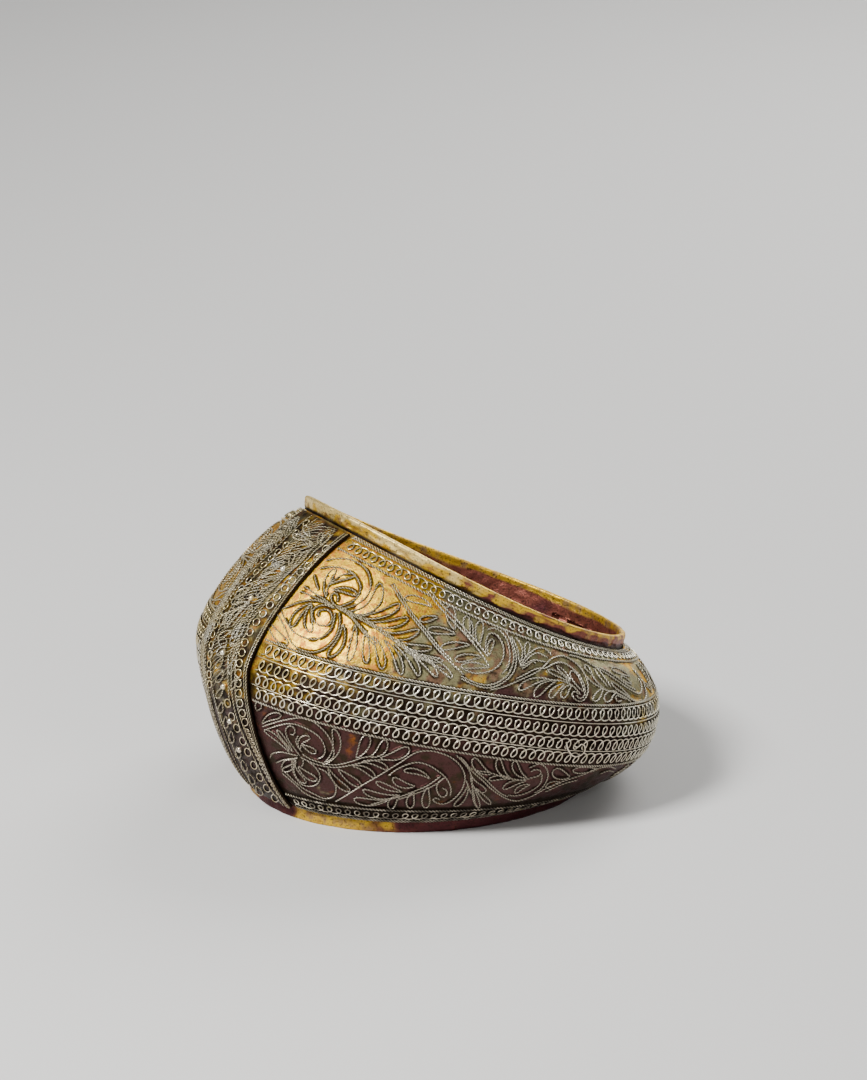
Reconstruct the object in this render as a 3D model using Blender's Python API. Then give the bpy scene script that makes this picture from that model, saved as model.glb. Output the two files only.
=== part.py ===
"""Filigree bangle: a wedge-shaped inner cuff, a hollow bulging shell round it, and a strap panel with
silver granules laid over the shell at the bangle's tallest side.

Metres, +Z up. The bangle stands on its lower rim, which lies in the plane z = 0, with the panel towards -Y.
Shapes are worked out in the cuff's own frame first, in millimetres: x towards the panel, y to the side and
z along the wrist axis, with z = 0 on the bangle's middle line. A turn, phi, is measured from the panel.
"""

import math

import bmesh
import bpy
import numpy as np

MM = 0.001

# The inner cuff
CUFF_RADIUS = 34.0  # mean radius of its outer face
CUFF_OVAL = 0.034  # share by which it is longer towards the panel than to the side
CUFF_WALL = 0.9
HALF_HEIGHT = 21.9  # from the middle line to each rim, at the sides
TAPER = 0.252  # rise of each rim for each millimetre towards the panel
RIM_WAVE = 1.15  # sway of the upper rim, twice round
RIM_ROUND = 0.22  # rounding of the upper rim's edges
CUFF_STEPS = 96

# The shell
COLLAR = 3.3  # height of cuff left bare at each rim
FIT_GAP = 0.3  # between pieces that touch
LIP = 0.6  # how far the shell's edge stands off the cuff's outer face
SHELL_WALL = 0.8
BULGE_MEAN, BULGE_FRONT, BULGE_TRIPLE = 11.6, 4.15, 2.4  # how far the shell swells, and its change round the cuff
CURVE_MEAN, CURVE_FRONT, CURVE_CORNER = 1.92, -0.50, 0.80  # exponents of the shell's rounded profile
BAND_HALF = 6.07  # from the middle line to the wires that border the band of loops
WIRE_HALF, WIRE_PROUD = 0.4, 0.35  # half width and height of a border wire
LIP_WIRE_WIDTH, LIP_WIRE_PROUD = 0.95, 0.45  # the doubled wire on the shell's edge
ROW_WIRE = 2.75  # from the shell's edge to the wire below the edge row of loops, along the surface
FIELD_STEPS = 4  # profile steps between the edge row and the band
SHELL_STEPS = 74

# The panel
PANEL_HALF = 8.9
PANEL_SHEET = 0.6
PANEL_END = 0.985  # share of the shell's half height that it reaches
PANEL_SEAT = 0.8  # how far the shell is flattened under it
PANEL_SEAT_WIDTH = 20.0  # in degrees
PANEL_SIDE_GAP = 0.35  # from its edge to the ends of the shell's wires
EDGE_WIRE, EDGE_PROUD = 0.8, 0.4  # width and height of the doubled wire along each edge
INNER_WIRE_AT, INNER_WIRE_HALF, INNER_PROUD = 4.5, 0.35, 0.3
PANEL_STEPS = 28
GRANULE_RADIUS = 0.62
GRANULE_SUNK = 0.25  # how deep each granule sits in the panel
GRANULES = ((0.66, 2.2), (0.41, 0.6), (0.03, 0.9), (-0.21, 0.9), (-0.44, 0.9), (-0.64, 0.9))  # height, side


def cuff_radius(phi):
    """Radius of the cuff's outer face."""
    return CUFF_RADIUS * (1 + CUFF_OVAL * np.cos(2 * phi))


def lower_rim(x):
    """Height of the flat lower rim above a point that is x towards the panel."""
    return -(HALF_HEIGHT + TAPER * x)


def upper_rim(x, phi):
    return HALF_HEIGHT + TAPER * x + RIM_WAVE * np.cos(2 * phi)


def shell_half(phi, s):
    """Height of the shell from the middle line to its upper edge (s > 0) or its lower edge."""
    x = cuff_radius(phi) * np.cos(phi)
    return np.where(s > 0, upper_rim(x, phi), -lower_rim(x)) - COLLAR


def shell_bulge(phi):
    seat = PANEL_SEAT * np.exp(-((np.degrees(phi) / PANEL_SEAT_WIDTH) ** 2))
    return BULGE_MEAN + BULGE_FRONT * np.cos(phi) + BULGE_TRIPLE * np.cos(3 * phi) - seat


def shell_place(phi, s):
    """Point of the shell at turn phi and share s of its half height: radius = edge + bulge (1 - |s|^p)^q."""
    power = CURVE_MEAN + CURVE_FRONT * np.cos(phi)
    swell = np.clip(1 - np.abs(s) ** power, 0, 1) ** CURVE_CORNER
    radius = cuff_radius(phi) + LIP + shell_bulge(phi) * swell
    return np.stack([radius * np.cos(phi), radius * np.sin(phi), s * shell_half(phi, s)], -1)


def shell_surface(phi, s, lift):
    """The shell's face moved outwards by lift."""
    step, inside = 1e-4, np.clip(s, -0.97, 0.97)
    round_way = shell_place(phi + step, inside) - shell_place(phi - step, inside)
    up_way = shell_place(phi, inside + step) - shell_place(phi, inside - step)
    normal = np.cross(round_way, up_way)
    normal /= np.linalg.norm(normal, axis=-1, keepdims=True)
    return shell_place(phi, s) + normal * np.asarray(lift)[..., None]


def standing(points):
    """From the cuff's frame to the row's axes, standing on the lower rim."""
    tilt = math.atan(TAPER)
    x, y, z = np.moveaxis(points, -1, 0)
    front = x * math.cos(tilt) - z * math.sin(tilt)
    up = x * math.sin(tilt) + z * math.cos(tilt) + HALF_HEIGHT * math.cos(tilt)
    return np.stack([y, -front, up], -1)


def clear_scene():
    for obj in list(bpy.data.objects):
        bpy.data.objects.remove(obj)


def collection(name):
    made = bpy.data.collections.new(name)
    bpy.context.scene.collection.children.link(made)
    return made


def finish_material(name, colour, roughness):
    material = bpy.data.materials.new(name)
    material.use_nodes = True
    shader = material.node_tree.nodes["Principled BSDF"]
    shader.inputs["Base Color"].default_value = (*colour, 1)
    shader.inputs["Metallic"].default_value = 1
    shader.inputs["Roughness"].default_value = roughness
    return material


def body_through(name, sections, ring, material):
    """A closed body through sections with the same number of points. A ring joins its last section to its
    first. Otherwise strips across the end sections close it, each section having its two sides in turn."""
    count, points = sections.shape[:2]
    number = np.arange(count * points).reshape(count, points)
    near = number if ring else number[:-1]
    far = np.roll(number, -1, 0) if ring else number[1:]
    faces = np.stack([near, np.roll(near, -1, 1), np.roll(far, -1, 1), far], -1).reshape(-1, 4).tolist()
    if not ring:
        last = points - 1
        for end in (number[0], number[-1]):
            faces += [[int(end[k]) for k in (j, j + 1, last - 1 - j, last - j)] for j in range(points // 2 - 1)]
    mesh = bpy.data.meshes.new(name)
    mesh.from_pydata((standing(sections).reshape(-1, 3) * MM).tolist(), [], faces)
    shape = bmesh.new()
    shape.from_mesh(mesh)
    bmesh.ops.recalc_face_normals(shape, faces=shape.faces)
    shape.to_mesh(mesh)
    shape.free()
    mesh.polygons.foreach_set("use_smooth", [True] * len(mesh.polygons))
    mesh.set_sharp_from_angle(angle=math.radians(50))
    mesh.materials.append(material)
    return bpy.data.objects.new(name, mesh)


def make_cuff():
    """Wall with a flat lower rim to stand on and a softened upper rim."""
    phi = np.linspace(0, 2 * math.pi, CUFF_STEPS, endpoint=False)[:, None]
    inset = np.array([0, 0, RIM_ROUND, CUFF_WALL - RIM_ROUND, CUFF_WALL, CUFF_WALL])
    dropped = np.array([0, RIM_ROUND, 0, 0, RIM_ROUND, 0])
    low = np.array([True, False, False, False, False, True])
    radius = cuff_radius(phi) - inset
    x, y = radius * np.cos(phi), radius * np.sin(phi)
    height = np.where(low, lower_rim(x), upper_rim(x, phi) - dropped)
    return body_through("inner_cuff", np.stack([x, y, height], -1), True, finish_material("gilt", (0.55, 0.38, 0.14), 0.35))


def edge_group(phi, side):
    """Shares of half height, and lifts, of the profile from the shell's edge inwards to the band's wire, on one side."""
    band = BAND_HALF / shell_half(phi, side)
    shares = np.linspace(1, 0, 1200)[None, :] * (1 - band[:, None]) + band[:, None]
    points = shell_place(phi[:, None], side * shares)
    path = np.linalg.norm(np.diff(points, axis=1), axis=-1)
    path = np.concatenate([np.zeros((len(phi), 1)), np.cumsum(path, axis=1)], 1)
    edge_stops = [0, LIP_WIRE_WIDTH / 2, LIP_WIRE_WIDTH, ROW_WIRE - WIRE_HALF, ROW_WIRE, ROW_WIRE + WIRE_HALF]
    field = np.linspace(0, 1, FIELD_STEPS + 1)[1:]
    stops = np.array([
        edge_stops + (edge_stops[-1] + field * (total - WIRE_HALF - edge_stops[-1])).tolist() + [total]
        for total in path[:, -1]
    ])
    found = np.array([np.interp(stop, way, share) for stop, way, share in zip(stops, path, shares)])
    lifts = [0.6 * LIP_WIRE_PROUD, LIP_WIRE_PROUD, 0, 0, WIRE_PROUD, 0] + [0] * FIELD_STEPS + [WIRE_PROUD]
    return side * found, np.array(lifts)


def make_shell():
    """Hollow ring of sheet. Its outer face has the border wires as low ribs, which stop at the panel."""
    edge = math.asin((PANEL_HALF + PANEL_SIDE_GAP) / 50)
    beyond = np.radians(np.linspace(15, 345, SHELL_STEPS - 5))
    turn = np.concatenate([[0, edge * 0.55, edge], beyond, [2 * math.pi - edge, 2 * math.pi - edge * 0.55]])
    turn = np.where(turn > math.pi, turn - 2 * math.pi, turn)
    upper, lifts = edge_group(turn, 1)
    lower, _ = edge_group(turn, -1)
    inner_band = (BAND_HALF - WIRE_HALF) / BAND_HALF
    middle = np.array([inner_band, 0.5, 0])
    outer_s = np.concatenate([
        upper,
        upper[:, -1:] * middle,
        lower[:, -1:] * middle[1::-1],
        lower[:, ::-1],
    ], 1)
    outer_lift = np.concatenate([lifts, np.zeros(5), lifts[::-1]])
    # Columns near the panel are moved to run along its straight edges.
    blend = math.radians(60)
    radius = np.hypot(*shell_place(np.abs(turn)[:, None], outer_s)[..., :2].transpose(2, 0, 1))
    panel_edge = np.arcsin((PANEL_HALF + PANEL_SIDE_GAP) / radius)
    size = np.abs(turn)[:, None]
    within = size / edge * panel_edge
    outside = panel_edge + (size - edge) / (blend - edge) * (blend - panel_edge)
    moved = np.where(size <= edge * 1.001, within, np.where(size < blend, outside, size))
    phi = np.sign(turn)[:, None] * moved
    lift = np.where(size <= edge * 1.001, 0, outer_lift)
    outer = shell_surface(phi, outer_s, lift)
    # The inner face follows the outer one at the wall's thickness and ends beside the cuff.
    inner_s = np.linspace(-0.93, 0.93, 13)[None, :] + 0 * turn[:, None]
    inner_phi = turn[:, None] + 0 * inner_s
    inner = shell_surface(inner_phi, inner_s, np.full(inner_s.shape, -SHELL_WALL))
    ends = [shell_place(phi[:, k], np.full(len(turn), s)) for k, s in ((-1, -1.0), (0, 1.0))]
    inner = np.concatenate([ends[0][:, None], inner, ends[1][:, None]], 1)
    around = np.arctan2(inner[..., 1], inner[..., 0])
    clear = cuff_radius(around) + FIT_GAP
    short = np.hypot(inner[..., 0], inner[..., 1])
    short[:, [0, -1]] = 0
    out = np.maximum(clear, short)
    inner[..., 0], inner[..., 1] = out * np.cos(around), out * np.sin(around)
    return body_through("outer_shell", np.concatenate([outer, inner], 1), True, finish_material("filigree", (0.42, 0.38, 0.26), 0.4))


def panel_turn(side, s):
    """Turn of the point that stands side millimetres off the bangle's middle plane."""
    phi = np.zeros(np.broadcast(side, s).shape)
    for _ in range(12):
        radius = np.hypot(*np.moveaxis(shell_place(phi, s + 0 * phi), -1, 0)[:2])
        phi = np.arcsin(side / radius)
    return phi


def make_panel():
    """Strap over the shell from edge to edge, with a doubled wire along each side and one inside it."""
    s = PANEL_END * np.sin(np.linspace(-math.pi / 2, math.pi / 2, PANEL_STEPS))[:, None]
    half = [0.0, 2.0, INNER_WIRE_AT - INNER_WIRE_HALF, INNER_WIRE_AT, INNER_WIRE_AT + INNER_WIRE_HALF,
            PANEL_HALF - EDGE_WIRE - 0.2, PANEL_HALF - EDGE_WIRE, PANEL_HALF - 0.15, PANEL_HALF]
    proud = [0.0, 0.0, 0.0, INNER_PROUD, 0.0, 0.0, EDGE_PROUD, EDGE_PROUD, EDGE_PROUD - 0.15]
    side = np.array([-y for y in half[:0:-1]] + half)
    lift = np.array(proud[:0:-1] + proud) + FIT_GAP + PANEL_SHEET
    phi = panel_turn(side, s)
    wide_s = s + 0 * phi
    outer = shell_surface(phi, wide_s, lift + 0 * phi)
    under = shell_surface(phi, wide_s, np.full(phi.shape, FIT_GAP))[:, ::-1]
    return body_through("front_panel", np.concatenate([outer, under], 1), False, finish_material("panel_silver", (0.48, 0.45, 0.34), 0.4))


def make_granules():
    """Small balls that sit in the panel's face along its middle."""
    shape = bmesh.new()
    for s, side in GRANULES:
        s, side = np.array([[s]]), np.array([side])
        lift = FIT_GAP + PANEL_SHEET + GRANULE_RADIUS - GRANULE_SUNK
        centre = standing(shell_surface(panel_turn(side, s), s, np.full((1, 1), lift)))[0, 0] * MM
        ball = bmesh.ops.create_icosphere(shape, subdivisions=2, radius=GRANULE_RADIUS * MM)
        bmesh.ops.translate(shape, verts=ball["verts"], vec=centre)
    mesh = bpy.data.meshes.new("granules")
    shape.to_mesh(mesh)
    shape.free()
    return bpy.data.objects.new("granules", mesh)


def main():
    clear_scene()
    bangle, helpers = collection("filigree_bangle"), collection("helpers")
    cuff, shell, panel = make_cuff(), make_shell(), make_panel()
    granules = make_granules()
    for obj in (cuff, shell, panel):
        bangle.objects.link(obj)
    helpers.objects.link(granules)
    granules.hide_render = True
    granules.display_type = "WIRE"
    join = panel.modifiers.new("granules", "BOOLEAN")
    join.operation = "UNION"
    join.solver = "EXACT"
    join.object = granules
    # The origin goes under the middle of the bangle's box.
    corners = np.array([v.co for obj in (cuff, shell, panel) for v in obj.data.vertices])
    middle = (corners.min(0) + corners.max(0)) / 2
    for obj in (cuff, shell, panel, granules):
        obj.location.y = -middle[1]


main()
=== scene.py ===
"""Looks of the filigree bangle: its sheet, its soldered wires, its granules, and their worn finish, with painted shade
and painted highlights.

Shapes are worked out in the cuff's own frame, in millimetres: x towards the panel, y to the side, z along
the wrist axis from the middle line. A turn, phi, is measured from the panel. The traced scrolls are kept as
places in the photograph's 867 x 1080 pixels, and are laid on the shell through the scene's own camera.
"""

import math

import bmesh
import bpy
import numpy as np
from mathutils import Matrix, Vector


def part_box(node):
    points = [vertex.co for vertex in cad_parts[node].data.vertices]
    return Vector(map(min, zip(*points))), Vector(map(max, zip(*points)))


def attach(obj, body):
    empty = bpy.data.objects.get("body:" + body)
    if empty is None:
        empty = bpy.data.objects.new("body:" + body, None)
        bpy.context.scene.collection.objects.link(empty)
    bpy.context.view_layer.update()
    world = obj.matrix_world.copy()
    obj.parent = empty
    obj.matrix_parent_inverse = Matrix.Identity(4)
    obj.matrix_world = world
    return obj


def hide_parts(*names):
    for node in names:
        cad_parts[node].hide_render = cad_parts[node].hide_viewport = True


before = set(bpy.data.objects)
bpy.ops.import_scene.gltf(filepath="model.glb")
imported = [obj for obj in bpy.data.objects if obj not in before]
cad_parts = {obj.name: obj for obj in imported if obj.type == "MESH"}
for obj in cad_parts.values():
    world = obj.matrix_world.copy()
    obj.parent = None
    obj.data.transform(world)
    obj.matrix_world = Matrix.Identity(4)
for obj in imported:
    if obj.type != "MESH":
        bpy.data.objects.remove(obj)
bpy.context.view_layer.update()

MM = 0.001

# The camera
VIEW_TURN, VIEW_RISE = 58.03, 19.98  # degrees round from the panel's side, and above the horizon
VIEW_DISTANCE = 1190.0
FOCAL_PIXELS = 5830.0
PICTURE = (867, 1080)
SENSOR = 36.0
AIM_UP, AIM_RIGHT = 25.8, -2.1  # from the bangle's middle to the middle of the picture
SEEN_GRID, NEWTON_STEPS = (90, 60), 9  # the search for the place that shows at a pixel
SEEN_TURNS, SEEN_SHARES = (0.12, 2.75), (-0.985, 0.985)  # the shell's visible side
PIXELS_PER_MM = 4.9

# The inner cuff
CUFF_RADIUS, CUFF_OVAL, CUFF_WALL = 34.0, 0.034, 0.9
HALF_HEIGHT, TAPER, RIM_WAVE = 21.9, 0.252, 1.15
CUFF_CAD_STEPS = 96
GILT_STRIP, GILT_STRIP_PROUD = 2.0, 0.22  # height and thickness of the gilt strip along the upper rim
LIP_BEAD, LIP_BEAD_WIDE = 0.14, 0.5
FINE_OUTSIDE, FINE_INSIDE = 4.2, 4.0  # how far from the rims the sheet is closely divided

# The shell
COLLAR, COLLAR_BELOW, FIT_GAP, LIP, SHELL_WALL = 2.9, 2.5, 0.3, 0.6, 0.8
BULGE_MEAN, BULGE_FRONT, BULGE_TRIPLE = 11.6, 4.15, 2.4
CURVE_MEAN, CURVE_FRONT, CURVE_CORNER = 1.92, -0.50, 0.80
BAND_HALF = 6.2
EDGE_PAIR, ROW_WIRE = (0.35, 0.85), 4.5  # border wires, in from the shell's edge
SHELL_ROUND, SHELL_ACROSS = 400, 110
MEAN_RADIUS = 45  # at which the patina's turns are measured as lengths

# The panel
PANEL_HALF, PANEL_SHEET, PANEL_END = 8.9, 0.6, 0.985
PANEL_SEAT, PANEL_SEAT_WIDTH, PANEL_SIDE_GAP = 0.8, 20.0, 0.35
PANEL_BORDER_WIRE, PANEL_BORDER_LIFT = 0.13, 0.1
PANEL_BORDERS, LEFT_ROW_HALF = (0.18, 0.75), 1.2  # in from the sides, and from the left row to its wires
STROKE_PITCH, STROKES_FROM, STROKE_WIRE, STROKE_LIFT = 0.95, -5.0, 0.1, 0.06
PANEL_RING_WIRE, LEAF_WIRE, LEAF_LIFT = 0.15, 0.16, 0.26
MARGIN_PITCH, MARGIN_WIRE, MARGIN_LIFT = 1.35, 0.14, 0.11
GRANULE_RADIUS, GRANULE_SUNK = 0.62, 0.25
# Share of the half height up, and mm to the side
GRANULES = ((0.644, 3.6), (0.404, 1.1), (0.022, 1.2), (-0.198, 1.7), (-0.44, 1.8), (-0.64, 2.0))

# The wires
RING_WIRE, EDGE_WIRE, THIN_WIRE = 0.24, 0.19, 0.13  # radii
UPPER_SCROLL_WIRE, SCROLL_WIRE = 0.175, 0.165
LOOP_WIRE = 0.175
STRAY_WIRE, STRAY_LIFT = 0.2, 0.7  # a bent ring of wire that stands proud of the band
RING_SEAT, SCROLL_SEAT = 0.7, 0.8  # height of a wire's axis above the ground, in radii
THIN_LIFT, END_TAPER = 0.1, 0.6
SOLDER_HALF, BORDER_SOLDER_HALF, SOLDER_HIGH, SOLDER_SUNK = 0.55, 0.5, 0.06, 0.02
TWIST, TWIST_STEP = 0.7, 0.14  # from bead to bead of a twisted wire, and from point to point
LOOP_PITCH, LOOP_WIDE, LOOP_HALF, LOOP_SLANT, LOOP_UNEVEN = 2.0, 0.98, 1.06, 0.26, 0.1
LOOP_ROWS = ((4.4, -1), (1.2, -1), (-1.5, 1), (-4.4, 1))  # height above the middle line, and which end is up
THIN_WIRES = (5.66, 2.76, -2.94)
EDGE_LOOP_PITCH, EDGE_LOOP_WIDE, EDGE_LOOP_HALF, EDGE_LOOPS_AT = 1.93, 1.0, 1.0, 2.75
EDGE_LOOP_SLANT, EDGE_LOOP_UNEVEN = 0.1, 0.05
# Painted shade that darkens the band's ground and wires between its loops
BAND_SHADE = 0.6
# Side, and the turns in degrees between which its back scroll runs
BACK_FIELDS = ((1, 126, 180), (-1, 117, 152))
BACK_RADIUS, BACK_WAVE, BACK_FIELD_HIGH = 40.0, 11.0, 4
BACK_SWING, BACK_PAIR, BACK_LEAVES = 0.26, 0.12, 6  # shares of the field's height, and leaves in a wave

# The studio, in metres and watts
FLOOR_HALF, FLOOR_COLOUR = 3, (0.62, 0.61, 0.59, 1)
SKY_COLOUR, SKY_STRENGTH = (0.80, 0.82, 0.86, 1), 0.16
LIGHTS_AIM = (0, 0, 0.03)
# Name, place, size and power
LIGHTS = (
    ("key", (0.07, -0.54, 0.6), 0.22, 12.0),
    ("side", (0.7, 0.1, 0.4), 0.3, 1.3),
    ("back", (-0.3, 0.6, 0.5), 0.5, 6.0),
)


def cuff_radius(phi):
    """Radius of the cuff's outer face: a circle that is a little longer towards the panel."""
    return CUFF_RADIUS * (1 + CUFF_OVAL * np.cos(2 * phi))


def lower_rim(x):
    return -(HALF_HEIGHT + TAPER * x)


def upper_rim(x, phi):
    return HALF_HEIGHT + TAPER * x + RIM_WAVE * np.cos(2 * phi)


def shell_half(phi, s):
    """Height of the shell from the middle line to its upper edge (s > 0) or its lower edge."""
    x = cuff_radius(phi) * np.cos(phi)
    return np.where(s > 0, upper_rim(x, phi) - COLLAR, -lower_rim(x) - COLLAR_BELOW)


def shell_bulge(phi):
    around = (np.degrees(phi) + 180) % 360 - 180
    seat = PANEL_SEAT * np.exp(-((around / PANEL_SEAT_WIDTH) ** 2))
    return BULGE_MEAN + BULGE_FRONT * np.cos(phi) + BULGE_TRIPLE * np.cos(3 * phi) - seat


def shell_place(phi, s):
    """Point of the shell at turn phi and share s of its half height: radius = edge + bulge (1 - |s|^p)^q."""
    power = CURVE_MEAN + CURVE_FRONT * np.cos(phi)
    swell = np.clip(1 - np.abs(s) ** power, 0, 1) ** CURVE_CORNER
    radius = cuff_radius(phi) + LIP + shell_bulge(phi) * swell
    place = radius * np.cos(phi), radius * np.sin(phi), s * shell_half(phi, s)
    return np.stack(np.broadcast_arrays(*place), -1)


def unit(vectors):
    return vectors / np.maximum(np.linalg.norm(vectors, axis=-1, keepdims=True), 1e-12)


def shell_normal(phi, s):
    """Outward direction: the cross product of the steps round and up the shell."""
    step, inside = 1e-4, np.clip(s, -0.97, 0.97)
    round_way = shell_place(phi + step, inside) - shell_place(phi - step, inside)
    up_way = shell_place(phi, inside + step) - shell_place(phi, inside - step)
    return unit(np.cross(round_way, up_way))


def shell_surface(phi, s, lift):
    return shell_place(phi, s) + shell_normal(phi, s) * np.asarray(lift)[..., None]


def panel_turn(side, s):
    """Turn of the shell's point that stands side millimetres off the bangle's middle plane."""
    phi = np.zeros(np.broadcast(side, s).shape)
    for _ in range(12):
        radius = np.hypot(*np.moveaxis(shell_place(phi, s + 0 * phi), -1, 0)[:2])
        phi = np.arcsin(side / radius)
    return phi


def panel_surface(side, s, lift):
    phi = panel_turn(side, s)
    return shell_surface(phi, s + 0 * phi, FIT_GAP + PANEL_SHEET + lift + 0 * phi)


def panel_normal(side, s):
    phi = panel_turn(side, s)
    return shell_normal(phi, s + 0 * phi)


def standing(points):
    """From the cuff's frame to the frame's axes, standing on the lower rim."""
    tilt = math.atan(TAPER)
    x, y, z = np.moveaxis(points, -1, 0)
    front = x * math.cos(tilt) - z * math.sin(tilt)
    up = x * math.sin(tilt) + z * math.cos(tilt) + HALF_HEIGHT * math.cos(tilt)
    return np.stack([y, -front, up], -1)


def centring():
    """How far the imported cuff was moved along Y: its box against the law's own front end."""
    phi = np.linspace(0, 2 * math.pi, CUFF_CAD_STEPS, endpoint=False)
    x, y = cuff_radius(phi) * np.cos(phi), cuff_radius(phi) * np.sin(phi)
    ends = [standing(np.stack([x, y, z], -1)) for z in (lower_rim(x), upper_rim(x, phi))]
    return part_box("inner_cuff")[1].y / MM - max(end[:, 1].max() for end in ends)


SHIFT = np.array([0, centring(), 0])


def in_frame(points):
    return standing(points) + SHIFT


def ripple(points, size, seed, waves=26):
    """Smooth uneven field of about unit spread: the sum of sine waves of like size in seeded directions."""
    source = np.random.default_rng(seed)
    ways = unit(source.normal(size=(waves, 3))) * (2 * math.pi / size * source.uniform(0.6, 1.6, (waves, 1)))
    phases = source.uniform(0, 2 * math.pi, waves)
    return np.sin(points @ ways.T + phases).sum(-1) * math.sqrt(2 / waves)


def smooth_step(low, high, value):
    share = np.clip((value - low) / (high - low), 0, 1)
    return share * share * (3 - 2 * share)


# Looking through the camera

def camera_axes():
    """Place of the eye, and its right, up and back directions, in the frame's axes and millimetres."""
    turn, rise = math.radians(VIEW_TURN), math.radians(VIEW_RISE)
    back = np.array([math.sin(turn) * math.cos(rise), -math.cos(turn) * math.cos(rise), math.sin(rise)])
    right = np.array([math.cos(turn), math.sin(turn), 0])
    middle = SHIFT + np.array([0, 0, HALF_HEIGHT])
    eye = middle + back * VIEW_DISTANCE
    look = unit(eye - (middle + np.cross(back, right) * AIM_UP + right * AIM_RIGHT))
    level = unit(np.cross([0, 0, 1], look))
    return eye, level, np.cross(look, level), look


EYE, EYE_RIGHT, EYE_UP, EYE_BACK = camera_axes()


def picture_place(points):
    """Pixel of the photograph at which each point of the cuff's frame shows."""
    away = in_frame(points) - EYE
    depth = -(away @ EYE_BACK)
    across = PICTURE[0] / 2 + FOCAL_PIXELS * (away @ EYE_RIGHT) / depth
    down = PICTURE[1] / 2 - FOCAL_PIXELS * (away @ EYE_UP) / depth
    return np.stack([across, down], -1)


def seen_at(pixels, surface, normal, first, second):
    """The two parameters of the surface's point that shows at each pixel. The nearest point of a coarse grid
    is bettered by Newton steps on measured slopes, and a step is kept where it comes closer."""
    axes = np.linspace(*first, SEEN_GRID[0]), np.linspace(*second, SEEN_GRID[1])
    grid = np.stack(np.meshgrid(*axes, indexing="ij"), -1).reshape(-1, 2)
    points = surface(grid[:, 0], grid[:, 1])
    facing = np.einsum("ij,ij->i", normal(grid[:, 0], grid[:, 1]), unit(away_from(points)))
    grid, points = grid[facing > 0.05], points[facing > 0.05]
    places = picture_place(points)
    found = grid[((pixels[:, None, :] - places[None]) ** 2).sum(-1).argmin(1)]
    low, high = np.array([first[0], second[0]]), np.array([first[1], second[1]])
    step = 1e-4
    for _ in range(NEWTON_STEPS):
        here = picture_place(surface(*found.T))
        by_first = (picture_place(surface(found[:, 0] + step, found[:, 1])) - here) / step
        by_second = (picture_place(surface(found[:, 0], found[:, 1] + step)) - here) / step
        miss = pixels - here
        area = by_first[:, 0] * by_second[:, 1] - by_first[:, 1] * by_second[:, 0]
        area = np.where(np.abs(area) < 1e-3, 1e-3, area)
        move = np.stack([
            (miss[:, 0] * by_second[:, 1] - miss[:, 1] * by_second[:, 0]) / area,
            (by_first[:, 0] * miss[:, 1] - by_first[:, 1] * miss[:, 0]) / area,
        ], -1)
        tried = np.clip(found + move, low, high)
        closer = ((pixels - picture_place(surface(*tried.T))) ** 2).sum(-1) < (miss ** 2).sum(-1)
        found = np.where(closer[:, None], tried, found)
    return found


def away_from(points):
    """Direction from each point to the eye, in the cuff's frame."""
    tilt = math.atan(TAPER)
    way = EYE - in_frame(points)
    y, front, up = way[:, 0], -way[:, 1], way[:, 2]
    return np.stack([
        front * math.cos(tilt) + up * math.sin(tilt), y, -front * math.sin(tilt) + up * math.cos(tilt)
    ], -1)


def on_shell(pixels):
    """Turn and share on the shell's visible side for each pixel."""
    lifted = lambda phi, s: shell_surface(phi, s, 0.2 + 0 * phi)
    return seen_at(np.asarray(pixels, float), lifted, shell_normal, SEEN_TURNS, SEEN_SHARES)


# Patina and painted shade: how much of each tone a place has. A patch is (across, down, spread, amount), placed in
# pixels.

GOLD_PATCHES = (
    (300, 640, 42, 0.9), (330, 578, 34, 1.0), (372, 585, 26, 0.9), (272, 622, 24, 1.0), (402, 596, 26, 0.7),
    (350, 620, 24, 0.5), (430, 588, 16, 0.6), (380, 655, 12, 0.7), (352, 650, 10, 0.6), (652, 690, 12, 1.0),
    (640, 660, 10, 0.9), (644, 715, 10, 0.8), (250, 726, 12, 0.5), (276, 782, 14, 0.6), (480, 678, 14, 0.4),
    (560, 690, 10, 0.3), (618, 655, 12, 0.7), (285, 690, 20, 0.35),
)
AMBER_PATCHES = (
    (353, 737, 4, 0.6), (352, 745, 4, 0.5), (351, 754, 4, 0.5), (414, 743, 7, 0.5), (262, 716, 9, 0.4),
    (290, 705, 9, 0.3), (578, 676, 5, 0.4),
)
DARK_PATCHES = (
    (272, 760, 26, 0.6), (262, 725, 16, 0.4),
    (450, 775, 60, 0.75), (390, 775, 50, 0.7), (540, 775, 60, 0.8), (600, 768, 40, 0.8), (310, 745, 40, 0.5),
    (560, 728, 26, 0.35), (520, 715, 20, 0.2), (300, 702, 20, 0.35), (500, 640, 20, 0.15),
)


def patch_places(patches):
    """Round and up places (mm) of patches that are given in pixels, with their spreads and amounts."""
    table = np.array(patches)
    phi, s = on_shell(table[:, :2]).T
    points = shell_place(phi, s)
    return np.stack([phi * MEAN_RADIUS, points[:, 2], table[:, 2] / PIXELS_PER_MM, table[:, 3]], -1)


def tone(points, patches, seed):
    """Sum of round soft patches, the same on both sides of the panel, broken up by a ripple."""
    around = np.abs(np.arctan2(points[..., 1], points[..., 0])) * MEAN_RADIUS
    total = 0.16 * ripple(points, 5.0, seed) + 0.10 * ripple(points, 1.6, seed + 1)
    for place, height, spread, amount in patches:
        off = (around - place) ** 2 + (points[..., 2] - height) ** 2
        total = total + amount * np.exp(-off / (2 * spread ** 2))
    return np.clip(total, 0, 1)


GOLD, AMBER, DARK = patch_places(GOLD_PATCHES), patch_places(AMBER_PATCHES), patch_places(DARK_PATCHES)


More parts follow.
